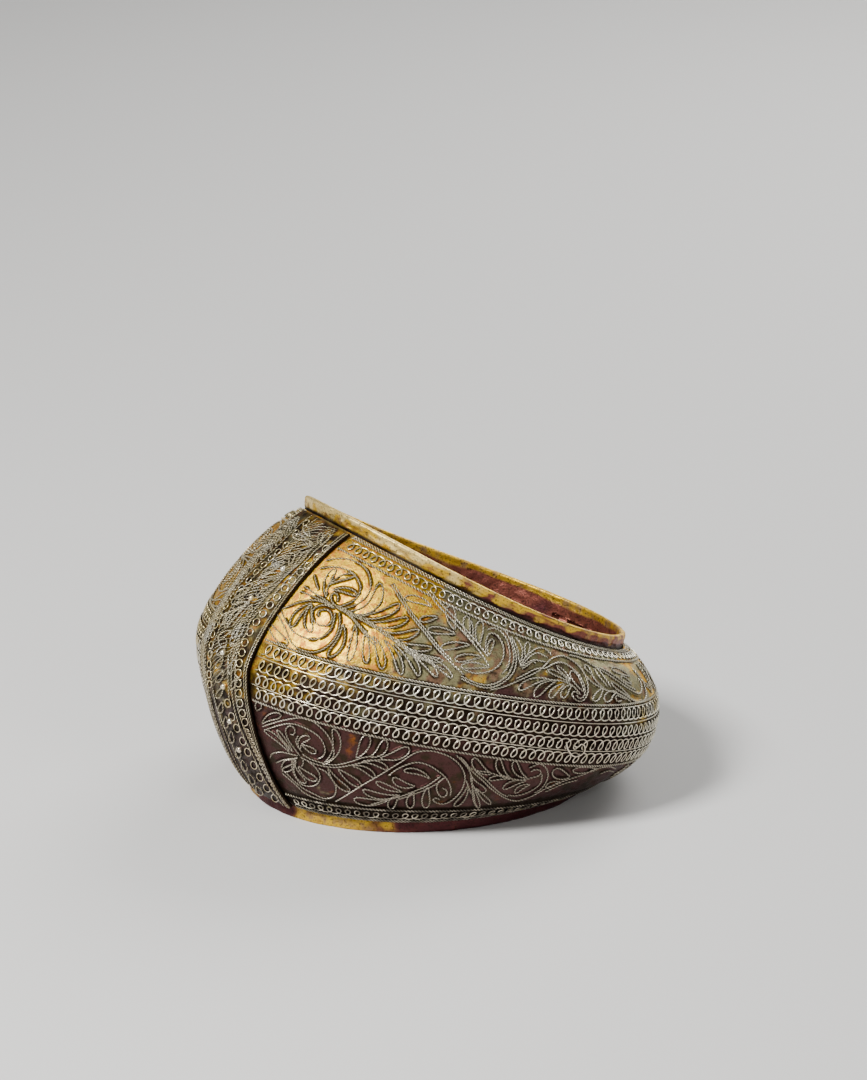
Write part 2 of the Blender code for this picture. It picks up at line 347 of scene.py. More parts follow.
def patina_and_shade(points):
    """Gold, amber, dark and painted crevice shade of points near the shell, as the four channels of a colour.
    The lower field is darker than the upper one, and the ground of the band and of the lower edge row gets painted
    shade."""
    height = points[..., 2]
    below = smooth_step(-5.5, -7.5, height)
    dark = np.clip(tone(points, DARK, 31) + 0.45 * below, 0, 1)
    in_band = smooth_step(BAND_HALF + 0.2, BAND_HALF - 0.4, np.abs(height))
    phi = np.arctan2(points[..., 1], points[..., 0])
    # Painted shade: the band and the lower edge row are darkened, with a random ripple over it
    low_edge_shade = smooth_step(4.4, 3.4, height + shell_half(phi, -1 + 0 * phi))
    crevice_shade = np.clip(BAND_SHADE * in_band + 0.95 * low_edge_shade + 0.12 * ripple(points, 3.0, 41), 0, 1)
    gold = tone(points, GOLD, 11) * (1 - 0.6 * below)
    return np.stack([gold, tone(points, AMBER, 21), dark, crevice_shade], -1)


# Making meshes

def add_object(name, data):
    made = bpy.data.objects.new(name, data)
    bpy.context.scene.collection.objects.link(made)
    return made


def new_mesh(name, points, faces, material, uv=None, colour=None):
    """A piece from points of the cuff's frame. faces is a list of index arrays, one for each corner count."""
    mesh = bpy.data.meshes.new(name)
    places = np.ascontiguousarray(in_frame(points.reshape(-1, 3)) * MM, np.float32)
    corners = np.concatenate([group.ravel() for group in faces]).astype(np.int32)
    counts = np.concatenate([np.full(len(group), group.shape[1]) for group in faces])
    mesh.vertices.add(len(places))
    mesh.vertices.foreach_set("co", places.ravel())
    mesh.loops.add(len(corners))
    mesh.loops.foreach_set("vertex_index", corners)
    mesh.polygons.add(len(counts))
    mesh.polygons.foreach_set("loop_start", (np.cumsum(counts) - counts).astype(np.int32))
    mesh.polygons.foreach_set("use_smooth", np.ones(len(counts), bool))
    if uv is not None:
        mesh.uv_layers.new(name="run").uv.foreach_set("vector", np.ascontiguousarray(uv, np.float32).ravel())
    if colour is not None:
        layer = mesh.color_attributes.new("patina_and_shade", "FLOAT_COLOR", "POINT")
        layer.data.foreach_set("color", np.ascontiguousarray(colour, np.float32).ravel())
    mesh.update(calc_edges=True)
    mesh.validate()
    mesh.materials.append(material)
    piece = add_object(name, mesh)
    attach(piece, "root")
    return piece


def grid_faces(rows, columns, round_rows, round_columns):
    """Quads of a grid of points, joined up where a direction goes round."""
    number = np.arange(rows * columns).reshape(rows, columns)
    if round_rows:
        number = np.concatenate([number, number[:1]])
    if round_columns:
        number = np.concatenate([number, number[:, :1]], 1)
    return np.stack([number[:-1, :-1], number[1:, :-1], number[1:, 1:], number[:-1, 1:]], -1).reshape(-1, 4)


def face_outwards(piece, merge=0):
    """Turns the faces outwards, once points closer than merge are joined."""
    shape = bmesh.new()
    shape.from_mesh(piece.data)
    if merge:
        bmesh.ops.remove_doubles(shape, verts=shape.verts, dist=merge)
    bmesh.ops.recalc_face_normals(shape, faces=shape.faces)
    shape.to_mesh(piece.data)
    shape.free()


def spaced(points, normals, step):
    """The same line with its points about step apart, by its running length."""
    run = np.concatenate([[0], np.cumsum(np.linalg.norm(np.diff(points, axis=0), axis=1))])
    stops = np.linspace(0, run[-1], max(3, int(round(run[-1] / step)) + 1))
    at_stops = lambda part: np.stack([np.interp(stops, run, part[:, k]) for k in range(3)], -1)
    return at_stops(points), unit(at_stops(normals)), stops


def sweep(name, lines, section, sides, step, material, tint):
    """Closed tubes along lines, each (points, normals). section(angle, run) gives how far each point of the
    outline stands to the side of the line and above it. The UV map holds the running length and the share of
    the way round. tint gives the colours of the line's points, for each side of the outline."""
    points, quads, caps, uvs, cap_uvs, tints, first = [], [], [], [], [], [], 0
    angle = np.arange(sides) * 2 * math.pi / sides
    for line in lines:
        centre, normal, run = spaced(*line, step)
        count = len(centre)
        ahead = unit(np.gradient(centre, axis=0))
        side = unit(np.cross(ahead, normal))
        above = np.cross(side, ahead)
        aside, rise = (part + 0 * run[:, None] for part in section(angle[None], run[:, None]))
        taper = np.ones((count, 1))
        taper[[0, -1]] = END_TAPER
        offset = (aside * taper)[..., None] * side[:, None] + (rise * taper)[..., None] * above[:, None]
        points.append((centre[:, None] + offset).reshape(-1, 3))
        faces = grid_faces(count, sides, False, True)
        quads.append(faces + first)
        row, column = np.divmod(np.arange(len(faces)), sides)
        corner_row = np.stack([row, row + 1, row + 1, row], -1)
        corner_side = np.stack([column, column, column + 1, column + 1], -1)
        uvs.append(np.stack([run[corner_row], corner_side / sides], -1).reshape(-1, 2))
        caps.append(np.stack([np.arange(sides), np.arange(sides)[::-1] + (count - 1) * sides]) + first)
        cap_uvs.append(np.zeros((2 * sides, 2)))
        tints.append(tint(centre, sides))
        first += count * sides
    all_faces = [np.concatenate(quads), np.concatenate(caps)]
    return new_mesh(name, np.concatenate(points), all_faces, material,
                    uv=np.concatenate(uvs + cap_uvs), colour=np.concatenate(tints))


def even_tint(centre, sides):
    return np.repeat(patina_and_shade(centre), sides, 0)


def ridge_shade_tint(centre, sides):
    """As the ground below at the outline's sides, and full painted crevice shade along its ridge, where the wire sits.
    """
    colours = np.repeat(patina_and_shade(centre)[:, None], sides, 1)
    colours[:, sides // 4, 3] = 1
    return colours.reshape(-1, 4)


def make_wires(name, lines, radius, material, slot, sides=5, step=0.4, lay=0, tint=even_tint):
    """Round wires: radius (cos a, sin a). A lay makes a two-strand twist: the radius swells by
    sin (2a + turn), and turn grows by a full circle each lay."""
    def section(angle, run):
        swell = 0.88 + 0.22 * np.sin(2 * angle + 2 * math.pi * run / lay) if lay else 1
        return radius * swell * np.cos(angle), radius * swell * np.sin(angle)

    return sweep(name, lines, section, sides, step, material, tint)


def make_solder(name, lines, half, lift):
    """Low four-sided fillets of tarnished solder below wires lying lift above the ground, with painted shade on the
    ridge.
    """
    def section(angle, run):
        return half * np.cos(angle), SOLDER_HIGH * np.sin(angle) - lift - SOLDER_SUNK

    return sweep(name, lines, section, 4, 0.6, GROUND, ridge_shade_tint)


# Lines on the shell

def shell_line(phi, s, lift):
    return shell_surface(phi, s, lift + 0 * phi), shell_normal(phi, s)


def mirrored(lines):
    """The lines and their mirror images beyond the panel."""
    flip = np.array([1, -1, 1])
    return lines + [(points * flip, normals * flip) for points, normals in lines]


def share_from_edge(phi, side, distance):
    """Share of the half height that lies a distance in from the shell's edge, measured along its face."""
    shares = np.linspace(1, 0.35, 500)
    points = shell_place(phi[:, None], side * shares[None])
    path = np.cumsum(np.linalg.norm(np.diff(points, axis=1), axis=-1), 1)
    path = np.concatenate([np.zeros((len(phi), 1)), path], 1)
    after = np.clip((path < np.asarray(distance).reshape(-1, 1)).sum(1), 1, 499)
    row = np.arange(len(phi))
    start, end = path[row, after - 1], path[row, after]
    part = (distance - start) / np.maximum(end - start, 1e-9)
    return side * (shares[after - 1] + part * (shares[after] - shares[after - 1]))


def row_share(phi, side, distance):
    """As above for the edge rows, which draw together towards the back, where the shell is low."""
    around = np.abs((np.degrees(phi) + 180) % 360 - 180)
    return share_from_edge(phi, side, distance * (1 - 0.3 * smooth_step(95, 160, around)))


def band_share(phi, height):
    """Share of the half height at a height (mm) above the middle line."""
    return height / shell_half(phi, np.asarray(height) + 0 * phi)


def free_turns(s_law, count):
    """Turns from one side of the panel round to the other at even steps of length."""
    phi = np.linspace(0, 2 * math.pi, 2400)
    points = shell_place(phi, s_law(phi))
    edge = PANEL_HALF + PANEL_SIDE_GAP
    clear = (np.abs(points[:, 1]) > edge) | (points[:, 0] < 0)
    phi, points = phi[clear], points[clear]
    run = np.concatenate([[0], np.cumsum(np.linalg.norm(np.diff(points, axis=0), axis=1))])
    return np.interp(np.linspace(0, run[-1], count), run, phi), run[-1]


def ring_line(s_law, lift):
    phi, _ = free_turns(s_law, 1500)
    return shell_line(phi, s_law(phi), lift)


def loop_row(s_at, pitch, width, slant, uneven, side):
    """One wire laid in loops: it goes forward by one pitch a turn while it circles on an oval (a trochoid).
    Half way up a loop the forward motion has taken off half a pitch, so the oval is that much wider than the
    loop. s_at(phi, u) is the row's own height law, u running from -1 to 1 across it. slant leans the loops,
    uneven moves them a little out of step, and side turns them over."""
    _, length = free_turns(lambda phi: s_at(phi, 0 * phi), 200)
    loops = int(round(length / pitch))
    turn = np.linspace(0.5, loops - 0.5, loops * 18) * 2 * math.pi
    across = -side * np.cos(turn)
    oval = width + pitch / 2
    forward = turn / (2 * math.pi) * length / loops - oval / 2 * np.sin(turn) + slant * across
    forward = forward + uneven * ripple(np.stack([turn / 6.3, 0 * turn, 0 * turn], -1), 7.0, 71)
    phi_even, _ = free_turns(lambda phi: s_at(phi, 0 * phi), 2400)
    phi = np.interp(forward, np.linspace(0, length, 2400), phi_even)
    return shell_line(phi, s_at(phi, across), LOOP_WIRE * (1.05 + 0.5 * np.cos(turn / 2) ** 2))


# Traced lines

def curve_through(points, steps=9):
    """Smooth curve through given points (Catmull-Rom)."""
    points = np.asarray(points, float)
    held = np.concatenate([[2 * points[0] - points[1]], points, [2 * points[-1] - points[-2]]])
    t = np.linspace(0, 1, steps, endpoint=False)[None, :, None]
    a, b, c, d = (held[k:len(points) - 1 + k, None] for k in range(4))
    slope, bend, turn = c - a, 2 * a - 5 * b + 4 * c - d, 3 * b - a - 3 * c + d
    curve = 0.5 * (2 * b + slope * t + bend * t ** 2 + turn * t ** 3)
    return np.concatenate([curve.reshape(-1, 2), points[-1:]])


def leaf_outline(base_x, base_y, tip_x, tip_y, width, bend, count=26):
    """A loop of wire from its base round the tip and back. Half its width is multiplied by
    sin a (0.25 + 0.75 t^0.8) / 0.86, with t the share of its length, and its middle line bows by bend."""
    base, tip = np.array([base_x, base_y], float), np.array([tip_x, tip_y], float)
    along = tip - base
    across = np.array([-along[1], along[0]]) / np.hypot(*along)
    a = np.linspace(0, 2 * math.pi, count)
    t = (1 - np.cos(a)) / 2
    middle = base + along * t[:, None] + across * (bend * 4 * t * (1 - t))[:, None]
    slope = unit(along[None] + across * (bend * 4 * (1 - 2 * t))[:, None])
    half = width / 2 * np.sin(a) * (0.25 + 0.75 * t ** 0.8) / 0.86
    return middle + np.stack([-slope[:, 1], slope[:, 0]], -1) * half[:, None]


def laid_on_shell(outlines, lift):
    """Lines of the picture laid on the shell's visible side, all settled in one go."""
    ends = np.cumsum([len(outline) for outline in outlines])[:-1]
    phi, s = on_shell(np.concatenate(outlines)).T
    points, normals = shell_line(phi, s, lift)
    return list(zip(np.split(points, ends), np.split(normals, ends)))


# Traced scrolls, in the photograph's pixels. A leaf is (base, tip, width, bow), a vine the points it passes.

UPPER_LEAVES = (
    (326, 597, 336, 569, 7, -4), (330, 584, 355, 575, 6, -2), (333, 590, 357, 595, 6, -2.5),
    (312, 603, 291, 627, 8, 3.5), (312, 604, 311, 632, 9, 3.5), (268, 620, 288, 644, 9, 3),
    (343, 624, 328, 656, 10, -5), (355, 624, 348, 661, 8, -2), (366, 630, 366, 663, 8, 0),
    (373, 636, 382, 669, 9, -2.5), (384, 640, 401, 675, 8, -4), (394, 644, 419, 676, 8, -4.5),
    (405, 650, 437, 677, 8, -4), (415, 655, 452, 678, 7, -4), (346, 612, 380, 583, 12, 12),
    (358, 617, 400, 604, 9, 4), (366, 622, 408, 618, 9, 4.5), (378, 629, 419, 630, 9, 7),
    (395, 641, 432, 648, 7, 3), (404, 650, 443, 661, 6, 2), (432, 607, 405, 598, 8, 2.5),
    (438, 617, 420, 620, 7, 0), (456, 634, 428, 630, 8, 1), (470, 645, 441, 648.5, 8, 1.5),
    (482, 657, 455, 660, 8, 1), (489, 668, 461, 667, 7, 2), (455, 630, 450, 606, 11, -1),
    (470, 638, 467, 616, 8, -1.5), (479, 646, 481, 621, 9, -1), (489, 656, 493, 639, 6, -1),
    (526, 658, 528, 642, 6, 0), (584, 692, 571, 671, 8, 0), (571, 681, 557, 666, 3.5, 0.5),
    (570, 682, 548, 670, 5, 1), (556, 681, 535, 697, 9, 3), (548, 679, 519, 690, 8, 3),
    (565, 684, 550, 698, 7, 2), (572, 685, 563, 698, 8, 2), (603, 688, 594, 701, 7, 0),
    (617, 692, 607, 702, 9, 3), (630, 697, 611, 682, 4, 0), (592, 674, 585, 665, 4, 0),
    (630, 676, 612, 668, 5, 0), (632, 684, 621, 676.5, 4, 0),
)
UPPER_VINES = (
    ((341, 607), (335, 605), (331.5, 600), (331.5, 595), (334, 593), (337, 594), (338, 598), (337, 602)),
    ((320, 568), (330, 567), (340, 567.5), (350, 571), (357, 578), (360.5, 587), (358, 596), (351, 602), (336, 608)),
    ((326, 560), (338, 558.5), (350, 559.5), (362, 565), (369, 574), (370.5, 588), (365, 598), (355, 605), (342, 609)),
    ((314, 574), (316, 582), (318.5, 590)),
    ((304, 586), (313, 592), (322, 597.5), (333, 606)),
    ((300, 591), (310, 595), (321, 600), (334, 607)),
    ((282, 609), (292, 604.5), (302, 601.5), (312, 600), (323, 602), (335, 608)),
    ((334, 608), (326, 605), (318, 606), (313, 610), (312, 616), (315, 622), (321, 625.5), (328, 625), (332, 620),
     (331, 613), (327, 609.5), (321, 610), (318, 613), (319, 616.5)),
    ((281, 611), (286, 621), (291, 629), (297, 634), (306, 638), (316, 639), (325, 635), (331, 629), (334, 620),
     (335, 612)),
    ((277, 613), (282, 622), (287, 632), (290, 640), (296, 647), (305, 651), (315, 652), (325, 648), (333, 641),
     (338, 632), (340, 622), (339, 612)),
    ((336, 607), (345, 612), (352, 618), (360, 628), (368, 638), (374, 645)),
    ((338, 606), (347, 612), (354, 619), (362, 628), (370, 637), (378, 644)),
    ((340, 609), (352, 615), (362, 620), (372, 626), (383, 633), (394, 641), (405, 649), (418, 657), (445, 670)),
    ((341, 607.5), (352, 613), (363, 618), (373, 624), (384, 631), (396, 640), (408, 648), (420, 655), (434, 662)),
    ((391, 584), (401, 600), (410, 614), (417, 623), (424, 631.5), (436, 647), (450, 662), (464, 675)),
    ((393.5, 583), (404, 600), (413, 614), (420, 623), (427, 631.5), (439, 647), (453, 662)),
    ((427, 590), (437, 604), (451, 619), (466, 635), (480, 652), (490, 668)),
    ((430, 590), (440, 602.5), (454, 617), (469, 633), (483, 650), (488, 657)),
    ((471, 620), (473, 628), (473, 638), (474, 645)),
    ((486, 652), (486, 642), (489, 634), (495, 634), (500, 639), (503.5, 647), (503.5, 656), (500, 664),
     (494, 669.5), (486, 672.5), (476, 673.5), (467, 671), (460, 667)),
    ((487, 630), (493, 628), (500, 631), (506, 638), (509, 647), (510, 657), (508, 667), (502, 674)),
    ((497, 626.5), (504, 630), (509, 637), (512.5, 647), (514, 657), (512, 667), (507, 676), (499, 682), (490, 685),
     (481, 684.5), (471, 681), (461, 676)),
    ((507, 634), (512, 641), (515, 650), (516.5, 659), (515, 669), (510, 677), (502, 683.5), (492, 687.5),
     (483, 687.5), (472, 684), (461, 678.5)),
    ((511, 636), (515, 643), (518, 651), (519, 659), (521, 667)),
    ((515, 637), (520, 643), (522.5, 650), (522, 657), (520, 664)),
    ((520, 667), (525, 658), (531, 652), (538, 648), (544, 648.5), (549, 652), (552, 656)),
    ((521, 667), (526, 660.5), (532, 655), (538, 653), (544, 655.5), (548, 658)),
    ((522, 667), (528, 662.5), (534, 660), (540, 661), (546, 662)),
    ((522, 669), (528, 665), (533, 661), (536, 664)),
    ((490, 690), (500, 688), (510, 684.5), (520, 680), (530, 675.5), (540, 670), (546, 664), (550, 660), (555, 657),
     (563, 656), (570, 659), (577, 664), (583, 671), (587, 680), (588, 690), (586, 697), (581, 701.5), (575, 699),
     (572, 694), (575, 691.5), (579, 694.5)),
    ((516, 679), (526, 674), (536, 669), (546, 668), (552, 664.5), (559, 662.5), (566, 664), (573, 669), (579, 675),
     (583, 682), (585, 690), (584, 696), (580, 698.5), (576, 695)),
    ((528, 679), (540, 678), (552, 680), (562, 681), (570, 684), (576, 689), (581, 695)),
    ((626, 699), (621, 697), (617, 695.5), (615.5, 698), (618, 701.5), (622, 700.5)),
    ((586, 676), (592, 682), (598, 686), (606, 690), (616, 693), (626, 698), (631, 702)),
    ((591, 672), (594, 678), (599, 684), (604, 688)),
    ((594, 668), (598, 675), (603, 681), (608, 687)),
    ((596, 667), (602, 674), (607, 681), (611, 687)),
    ((569, 655), (578, 657), (586, 661), (593, 665.5), (601, 670), (609, 675), (617, 680.5), (625, 686), (633, 691),
     (639, 693.5), (641.5, 690), (641, 683), (638, 678)),
    ((599, 667), (607, 671), (615, 676), (622, 681), (629, 686), (636, 690)),
    ((616, 689), (624, 694), (631, 699), (638, 702), (644, 700.5), (646, 695), (645, 687), (642, 680), (632, 668)),
)
LOWER_LEAVES = (
    (262, 724, 281, 716, 8, -3), (322, 765, 333, 729, 9, 9), (300, 750, 310, 738, 7, -5),
    (302, 745, 316, 753, 6, 0), (293, 752, 277, 730, 4, 0), (290, 753, 264, 730, 5, 2),
    (296, 760, 282, 770, 6, -3), (298, 766, 317, 780, 7, 2), (294, 763, 306, 783, 6, 3),
    (328, 768, 350, 791, 7, 3), (338, 769, 361, 786, 8, 1), (352, 766, 375, 778, 6, -3),
    (362, 762, 388, 770, 6, -3), (356, 758, 367, 735, 12, 2), (370, 757, 385, 740, 10, 4),
    (380, 758, 409, 748, 11, 3), (430, 779, 404, 771, 6, 3), (415, 786, 393, 778, 8, -3),
    (402, 792, 376, 782, 6, -1), (400, 795, 363, 790, 7, -4), (388, 800, 354, 799, 8, -3),
    (400, 797, 391, 809, 9, 3), (414, 792, 411, 808, 9, 2), (428, 787, 426, 808, 9, 1),
    (468, 785, 454, 806, 6, -3), (471, 776, 486, 791, 8, 3), (473, 785, 479, 808, 6, 1),
    (476, 788, 491, 804, 5, 1), (492, 774, 474, 758, 10, -4), (510, 778, 499, 759, 8, -4),
    (527, 778, 515, 761, 8, -4), (512, 779, 489, 780, 5, 2), (526, 781, 503, 789, 6, 2),
    (570, 777, 553, 771, 12, -1), (598, 769, 573, 771, 7, 0), (530, 785, 515, 793, 5, 2),
    (561, 783, 546, 788, 5, 2),
)
LOWER_VINES = (
    ((257, 711), (255, 706), (257, 702), (261, 704), (261, 708), (257, 711)),
    ((262, 727), (270, 724), (280, 721), (290, 719), (300, 718), (308, 719), (315, 723), (322, 729), (328, 736),
     (332, 744), (334, 752), (333, 757), (330, 760), (325, 762)),
    ((265, 730), (275, 726.5), (285, 724), (293, 724), (300, 726), (307, 729), (314, 733), (320, 738), (324, 745),
     (325, 752), (322, 757), (317, 759)),
    ((300, 756), (294, 748), (289, 741), (286, 734), (286, 729), (289, 726), (293, 727), (295, 731), (293, 735),
     (290, 734)),
    ((302, 752), (298, 747), (296, 741), (298, 736)),
    ((300, 757), (308, 761), (320, 765.5), (335, 767.5), (350, 765.5), (365, 762), (378, 760), (392, 760)),
    ((302, 754), (310, 759), (322, 763), (335, 765), (350, 762), (362, 758), (374, 756)),
    ((298, 756), (290, 754), (280, 752), (272, 754), (270, 758)),
    ((298, 758), (290, 759), (283, 760), (276, 763)),
    ((296, 760), (287, 760), (283, 763), (281, 768)),
    ((292, 760), (292, 768), (295, 776), (300, 783), (306, 786), (313, 786), (318, 783), (320, 777), (318, 771),
     (313, 765), (306, 760)),
    ((303, 759), (303, 764), (301, 767)),
    ((318, 768), (326, 772), (331, 778), (335, 784), (336, 790), (334, 796), (328, 798.5), (322, 798), (314, 794),
     (306, 790), (300, 786), (293, 780), (287, 774), (281, 769)),
    ((282, 773), (290, 780), (297, 786), (303, 792), (310, 796), (318, 799), (326, 801)),
    ((335, 802), (342, 798), (350, 793), (358, 788), (366, 783), (375, 778), (385, 772), (393, 767), (401, 762),
     (410, 756), (418, 752), (430, 751), (440, 753), (450, 757), (458, 763), (463, 770), (465, 778), (463, 787),
     (458, 795), (451, 801), (444, 804), (437, 803), (433, 800), (436, 798), (440, 800)),
    ((388, 776), (396, 770), (404, 766), (413, 763), (421, 763), (430, 766), (437, 770.5), (444, 776), (449, 783),
     (451, 790), (450, 796)),
    ((441, 776), (433, 782), (425, 787), (415, 791), (405, 795), (395, 798), (383, 801), (370, 805)),
    ((444, 778), (436, 784), (427, 789), (417, 793), (406, 797), (396, 800)),
    ((446, 777), (441, 780), (437, 785), (437, 791), (440, 796), (444, 797), (447, 794), (446, 790), (442, 788)),
    ((456, 755), (463, 762), (469, 770), (472, 779), (472, 786), (474, 795), (475, 803), (478, 808)),
    ((460, 757), (466, 763), (470, 769), (475, 774), (483, 781), (490, 788), (498, 794), (507, 799), (516, 801),
     (525, 799), (534, 795), (543, 790), (553, 785), (564, 781), (576, 777), (588, 773)),
    ((475, 771), (485, 779), (492, 786), (500, 793), (508, 797)),
    ((470, 768), (478, 771), (486, 772), (494, 774), (502, 777), (512, 779), (522, 780), (531, 778), (538, 776),
     (541, 773), (539, 770), (534, 770), (531, 772)),
    ((529, 768), (534, 766), (540, 764), (546, 768), (548, 775), (546, 782), (541, 789), (534, 793)),
    ((542, 774), (541, 782), (537, 787), (531, 791), (524, 794), (515, 796), (508, 795)),
    ((466, 780), (469, 788), (471, 794)),
    ((545, 792), (556, 787), (566, 783), (578, 780)),
    ((590, 771), (600, 768), (610, 767), (616, 769)),
    ((600, 774), (608, 771), (614, 772)),
)
STRAY_RING = ((565, 741), (566, 747), (569, 752), (573, 755), (579, 754), (583, 750), (583, 745), (580, 743),
              (576, 746), (572, 744))


def scroll_lines(leaves, vines, lift):
    outlines = [leaf_outline(*leaf) for leaf in leaves] + [curve_through(vine) for vine in vines]
    return mirrored(laid_on_shell(outlines, lift))


# The finish

class Number:
    """A socket that takes part in arithmetic: each operator adds one Math node."""

    def __init__(self, finish, socket):
        self.finish, self.socket = finish, socket

    def __add__(self, other):
        return self.finish.math("ADD", self, other)

    def __mul__(self, other):
        return self.finish.math("MULTIPLY", self, other)

    __radd__, __rmul__ = __add__, __mul__


class Finish:
    """A material whose nodes are made from Python expressions."""

    def __init__(self, name, metallic=1.0, roughness=0.4):
        self.material = bpy.data.materials.new(name)
        self.material.use_nodes = True
        self.tree = self.material.node_tree
        self.shader = self.tree.nodes["Principled BSDF"]
        self.shader.inputs["Metallic"].default_value = metallic
        self.shader.inputs["Roughness"].default_value = roughness

    def set(self, socket, value):
        if isinstance(value, Number):
            self.tree.links.new(value.socket, socket)
        else:
            socket.default_value = value

    def node(self, kind, settings=None, inputs=None, out=0):
        made = self.tree.nodes.new(kind)
        for key, value in (settings or {}).items():
            setattr(made, key, value)
        for key, value in (inputs or {}).items():
            self.set(made.inputs[key], value)
        return Number(self, made.outputs[out])

    def math(self, operation, *values):
        return self.node("ShaderNodeMath", {"operation": operation}, dict(enumerate(values)))

    def mix(self, factor, first, second):
        settings = {"data_type": "RGBA", "blend_type": "MIX", "clamp_factor": True}
        return self.node("ShaderNodeMix", settings, {0: factor, 6: first, 7: second}, out=2)

    def ramp(self, value, low, high):
        settings = {"interpolation_type": "SMOOTHSTEP"}
        return self.node("ShaderNodeMapRange", settings, {0: value, 1: low, 2: high})

    def place(self):
        return self.node("ShaderNodeTexCoord", out="Object")

    def run(self):
        """Length along a wire (mm) and share of the way round it."""
        split = self.node("ShaderNodeUVMap", {"uv_map": "run"})
        parts = self.tree.nodes.new("ShaderNodeSeparateXYZ")
        self.tree.links.new(split.socket, parts.inputs[0])
        return Number(self, parts.outputs[0]), Number(self, parts.outputs[1])

    def patina_and_shade(self):
        colour = self.node("ShaderNodeAttribute", {"attribute_name": "patina_and_shade"})
        parts = self.tree.nodes.new("ShaderNodeSeparateColor")
        self.tree.links.new(colour.socket, parts.inputs[0])
        tones = [Number(self, parts.outputs[k]) for k in range(3)]
        return [*tones, Number(self, colour.socket.node.outputs[3])]

    def noise(self, scale, detail=3.0, roughness=0.6, stretch=None):
        place = self.place()
        if stretch:
            place = self.node("ShaderNodeMapping", inputs={"Vector": place, "Scale": stretch})
        return self.node("ShaderNodeTexNoise", inputs={
            "Vector": place, "Scale": scale, "Detail": detail, "Roughness": roughness
        })

    def bump(self, height, distance):
        inputs = {"Strength": 1.0, "Distance": distance, "Height": height}
        self.set(self.shader.inputs["Normal"], self.node("ShaderNodeBump", inputs=inputs))

    def colour(self, value):
        self.set(self.shader.inputs["Base Color"], value)

    def roughness(self, value):
        self.set(self.shader.inputs["Roughness"], value)


def rgb(red, green, blue):
    """Colour from sRGB parts in 0 to 255, made linear."""
    parts = [part / 255 for part in (red, green, blue)]
    return (*[part / 12.92 if part < 0.04 else ((part + 0.055) / 1.055) ** 2.4 for part in parts], 1.0)


BRIGHT_GOLD, DEEP_GOLD, AMBER_TONE = rgb(222, 179, 48), rgb(188, 116, 50), rgb(170, 98, 38)
OLIVE, DUSKY, BRONZE, DARK_OLIVE = rgb(148, 142, 104), rgb(146, 112, 88), rgb(78, 52, 50), rgb(58, 48, 36)
SILVER, WARM_SILVER = rgb(250, 243, 220), rgb(238, 217, 158)
# The last colour here is painted shade in crevices, on wire flanks and between beads, and also the dark of fine pits
DULL_WIRE, SHADE_AND_PIT_DARK = rgb(196, 178, 158), rgb(42, 32, 24)
MAROON, DARK_MAROON = rgb(134, 76, 62), rgb(80, 40, 42)
# The first colour here is a painted highlight on the tops of a twisted wire's beads
BEAD_HIGHLIGHT, PALE_GOLD = rgb(246, 236, 205), rgb(234, 206, 130)


def ground_finish():
    """Gilt sheet between the wires: gold, olive or bronze by its patina, mottled, with painted shade in its crevices.
    """
    finish = Finish("filigree_ground", metallic=1.0)
    gold, amber, dark, crevice_shade = finish.patina_and_shade()
    mottle = finish.noise(900, 4)
    fine = finish.noise(3200, 2)
    cloud = finish.ramp(finish.noise(300, 3), 0.48, 0.64)
    gilt = finish.mix(finish.ramp(mottle, 0.46, 0.61) * 0.85, BRIGHT_GOLD, DEEP_GOLD)
    tone = finish.mix(finish.ramp(gold + mottle * 0.5, 0.4, 0.95), finish.mix(cloud, OLIVE, DUSKY), gilt)
    tarnish = finish.mix(cloud, BRONZE, DARK_OLIVE)
    tone = finish.mix(finish.ramp(dark + mottle * 0.4, 0.4, 0.95), tone, tarnish)
    tone = finish.mix(finish.ramp(amber + mottle * 0.5, 0.5, 1.3), tone, AMBER_TONE)
    tone = finish.mix(finish.ramp(fine, 0.55, 0.7) * 0.75, tone, SHADE_AND_PIT_DARK)
    # Painted shade in crevices, from the fourth channel
    tone = finish.mix(finish.ramp(crevice_shade + mottle * 0.3, 0.3, 0.95), tone, SHADE_AND_PIT_DARK)
    finish.colour(tone)
    finish.roughness(0.38 + finish.ramp(mottle, 0.3, 0.7) * 0.2 + finish.ramp(crevice_shade, 0.4, 1.0) * 0.2)
    finish.bump(mottle * 0.6 + fine * 0.4, 0.0002)
    return finish.material


def wire_finish(name, twisted):
    """Silver-gilt wire, tarnished in places, with painted shade on its flanks and in crevices; where it is twisted it
    is beaded, with a painted highlight on each bead's top and painted shade between the beads.
    """
    finish = Finish(name, metallic=0.65 if twisted else 0.9)
    gold, _, dark, crevice_shade = finish.patina_and_shade()
    along, around = finish.run()
    mottle = finish.noise(700, 3)
    crown = finish.math("SINE", around * (2 * math.pi))
    tone = finish.mix(finish.ramp(gold + mottle * 0.4, 0.4, 1.1), SILVER, WARM_SILVER)
    tone = finish.mix(finish.ramp(dark + mottle * 0.5, 0.5, 1.2) * 0.7, tone, DULL_WIRE)
    # Painted shade: crevices darken the wire, and so do its flanks, away from its crown
    tone = finish.mix(finish.ramp(crevice_shade, 0.75, 1.1), tone, SHADE_AND_PIT_DARK)
    tone = finish.mix(finish.ramp(crown, *((0.65, 0.0) if twisted else (0.92, 0.3))), tone, SHADE_AND_PIT_DARK)
    tone = finish.mix(finish.ramp(mottle, 0.52, 0.7) * 0.5, tone, OLIVE)
    if twisted:
        bead = finish.math("SINE", (along * (1 / TWIST) + around * 2) * (2 * math.pi))
        # Painted highlight on each bead's top, and painted shade in the grooves between beads
        tone = finish.mix(finish.ramp(bead, 0.3, 0.9) * finish.ramp(dark, 1.1, 0.5) * 0.65, tone, BEAD_HIGHLIGHT)
        tone = finish.mix(finish.ramp(bead, 0.3, -0.6) * 0.85, tone, SHADE_AND_PIT_DARK)
        finish.bump(bead, 0.00014)
    finish.colour(tone)
    finish.roughness((0.28 if twisted else 0.2) + mottle * 0.16)
    return finish.material


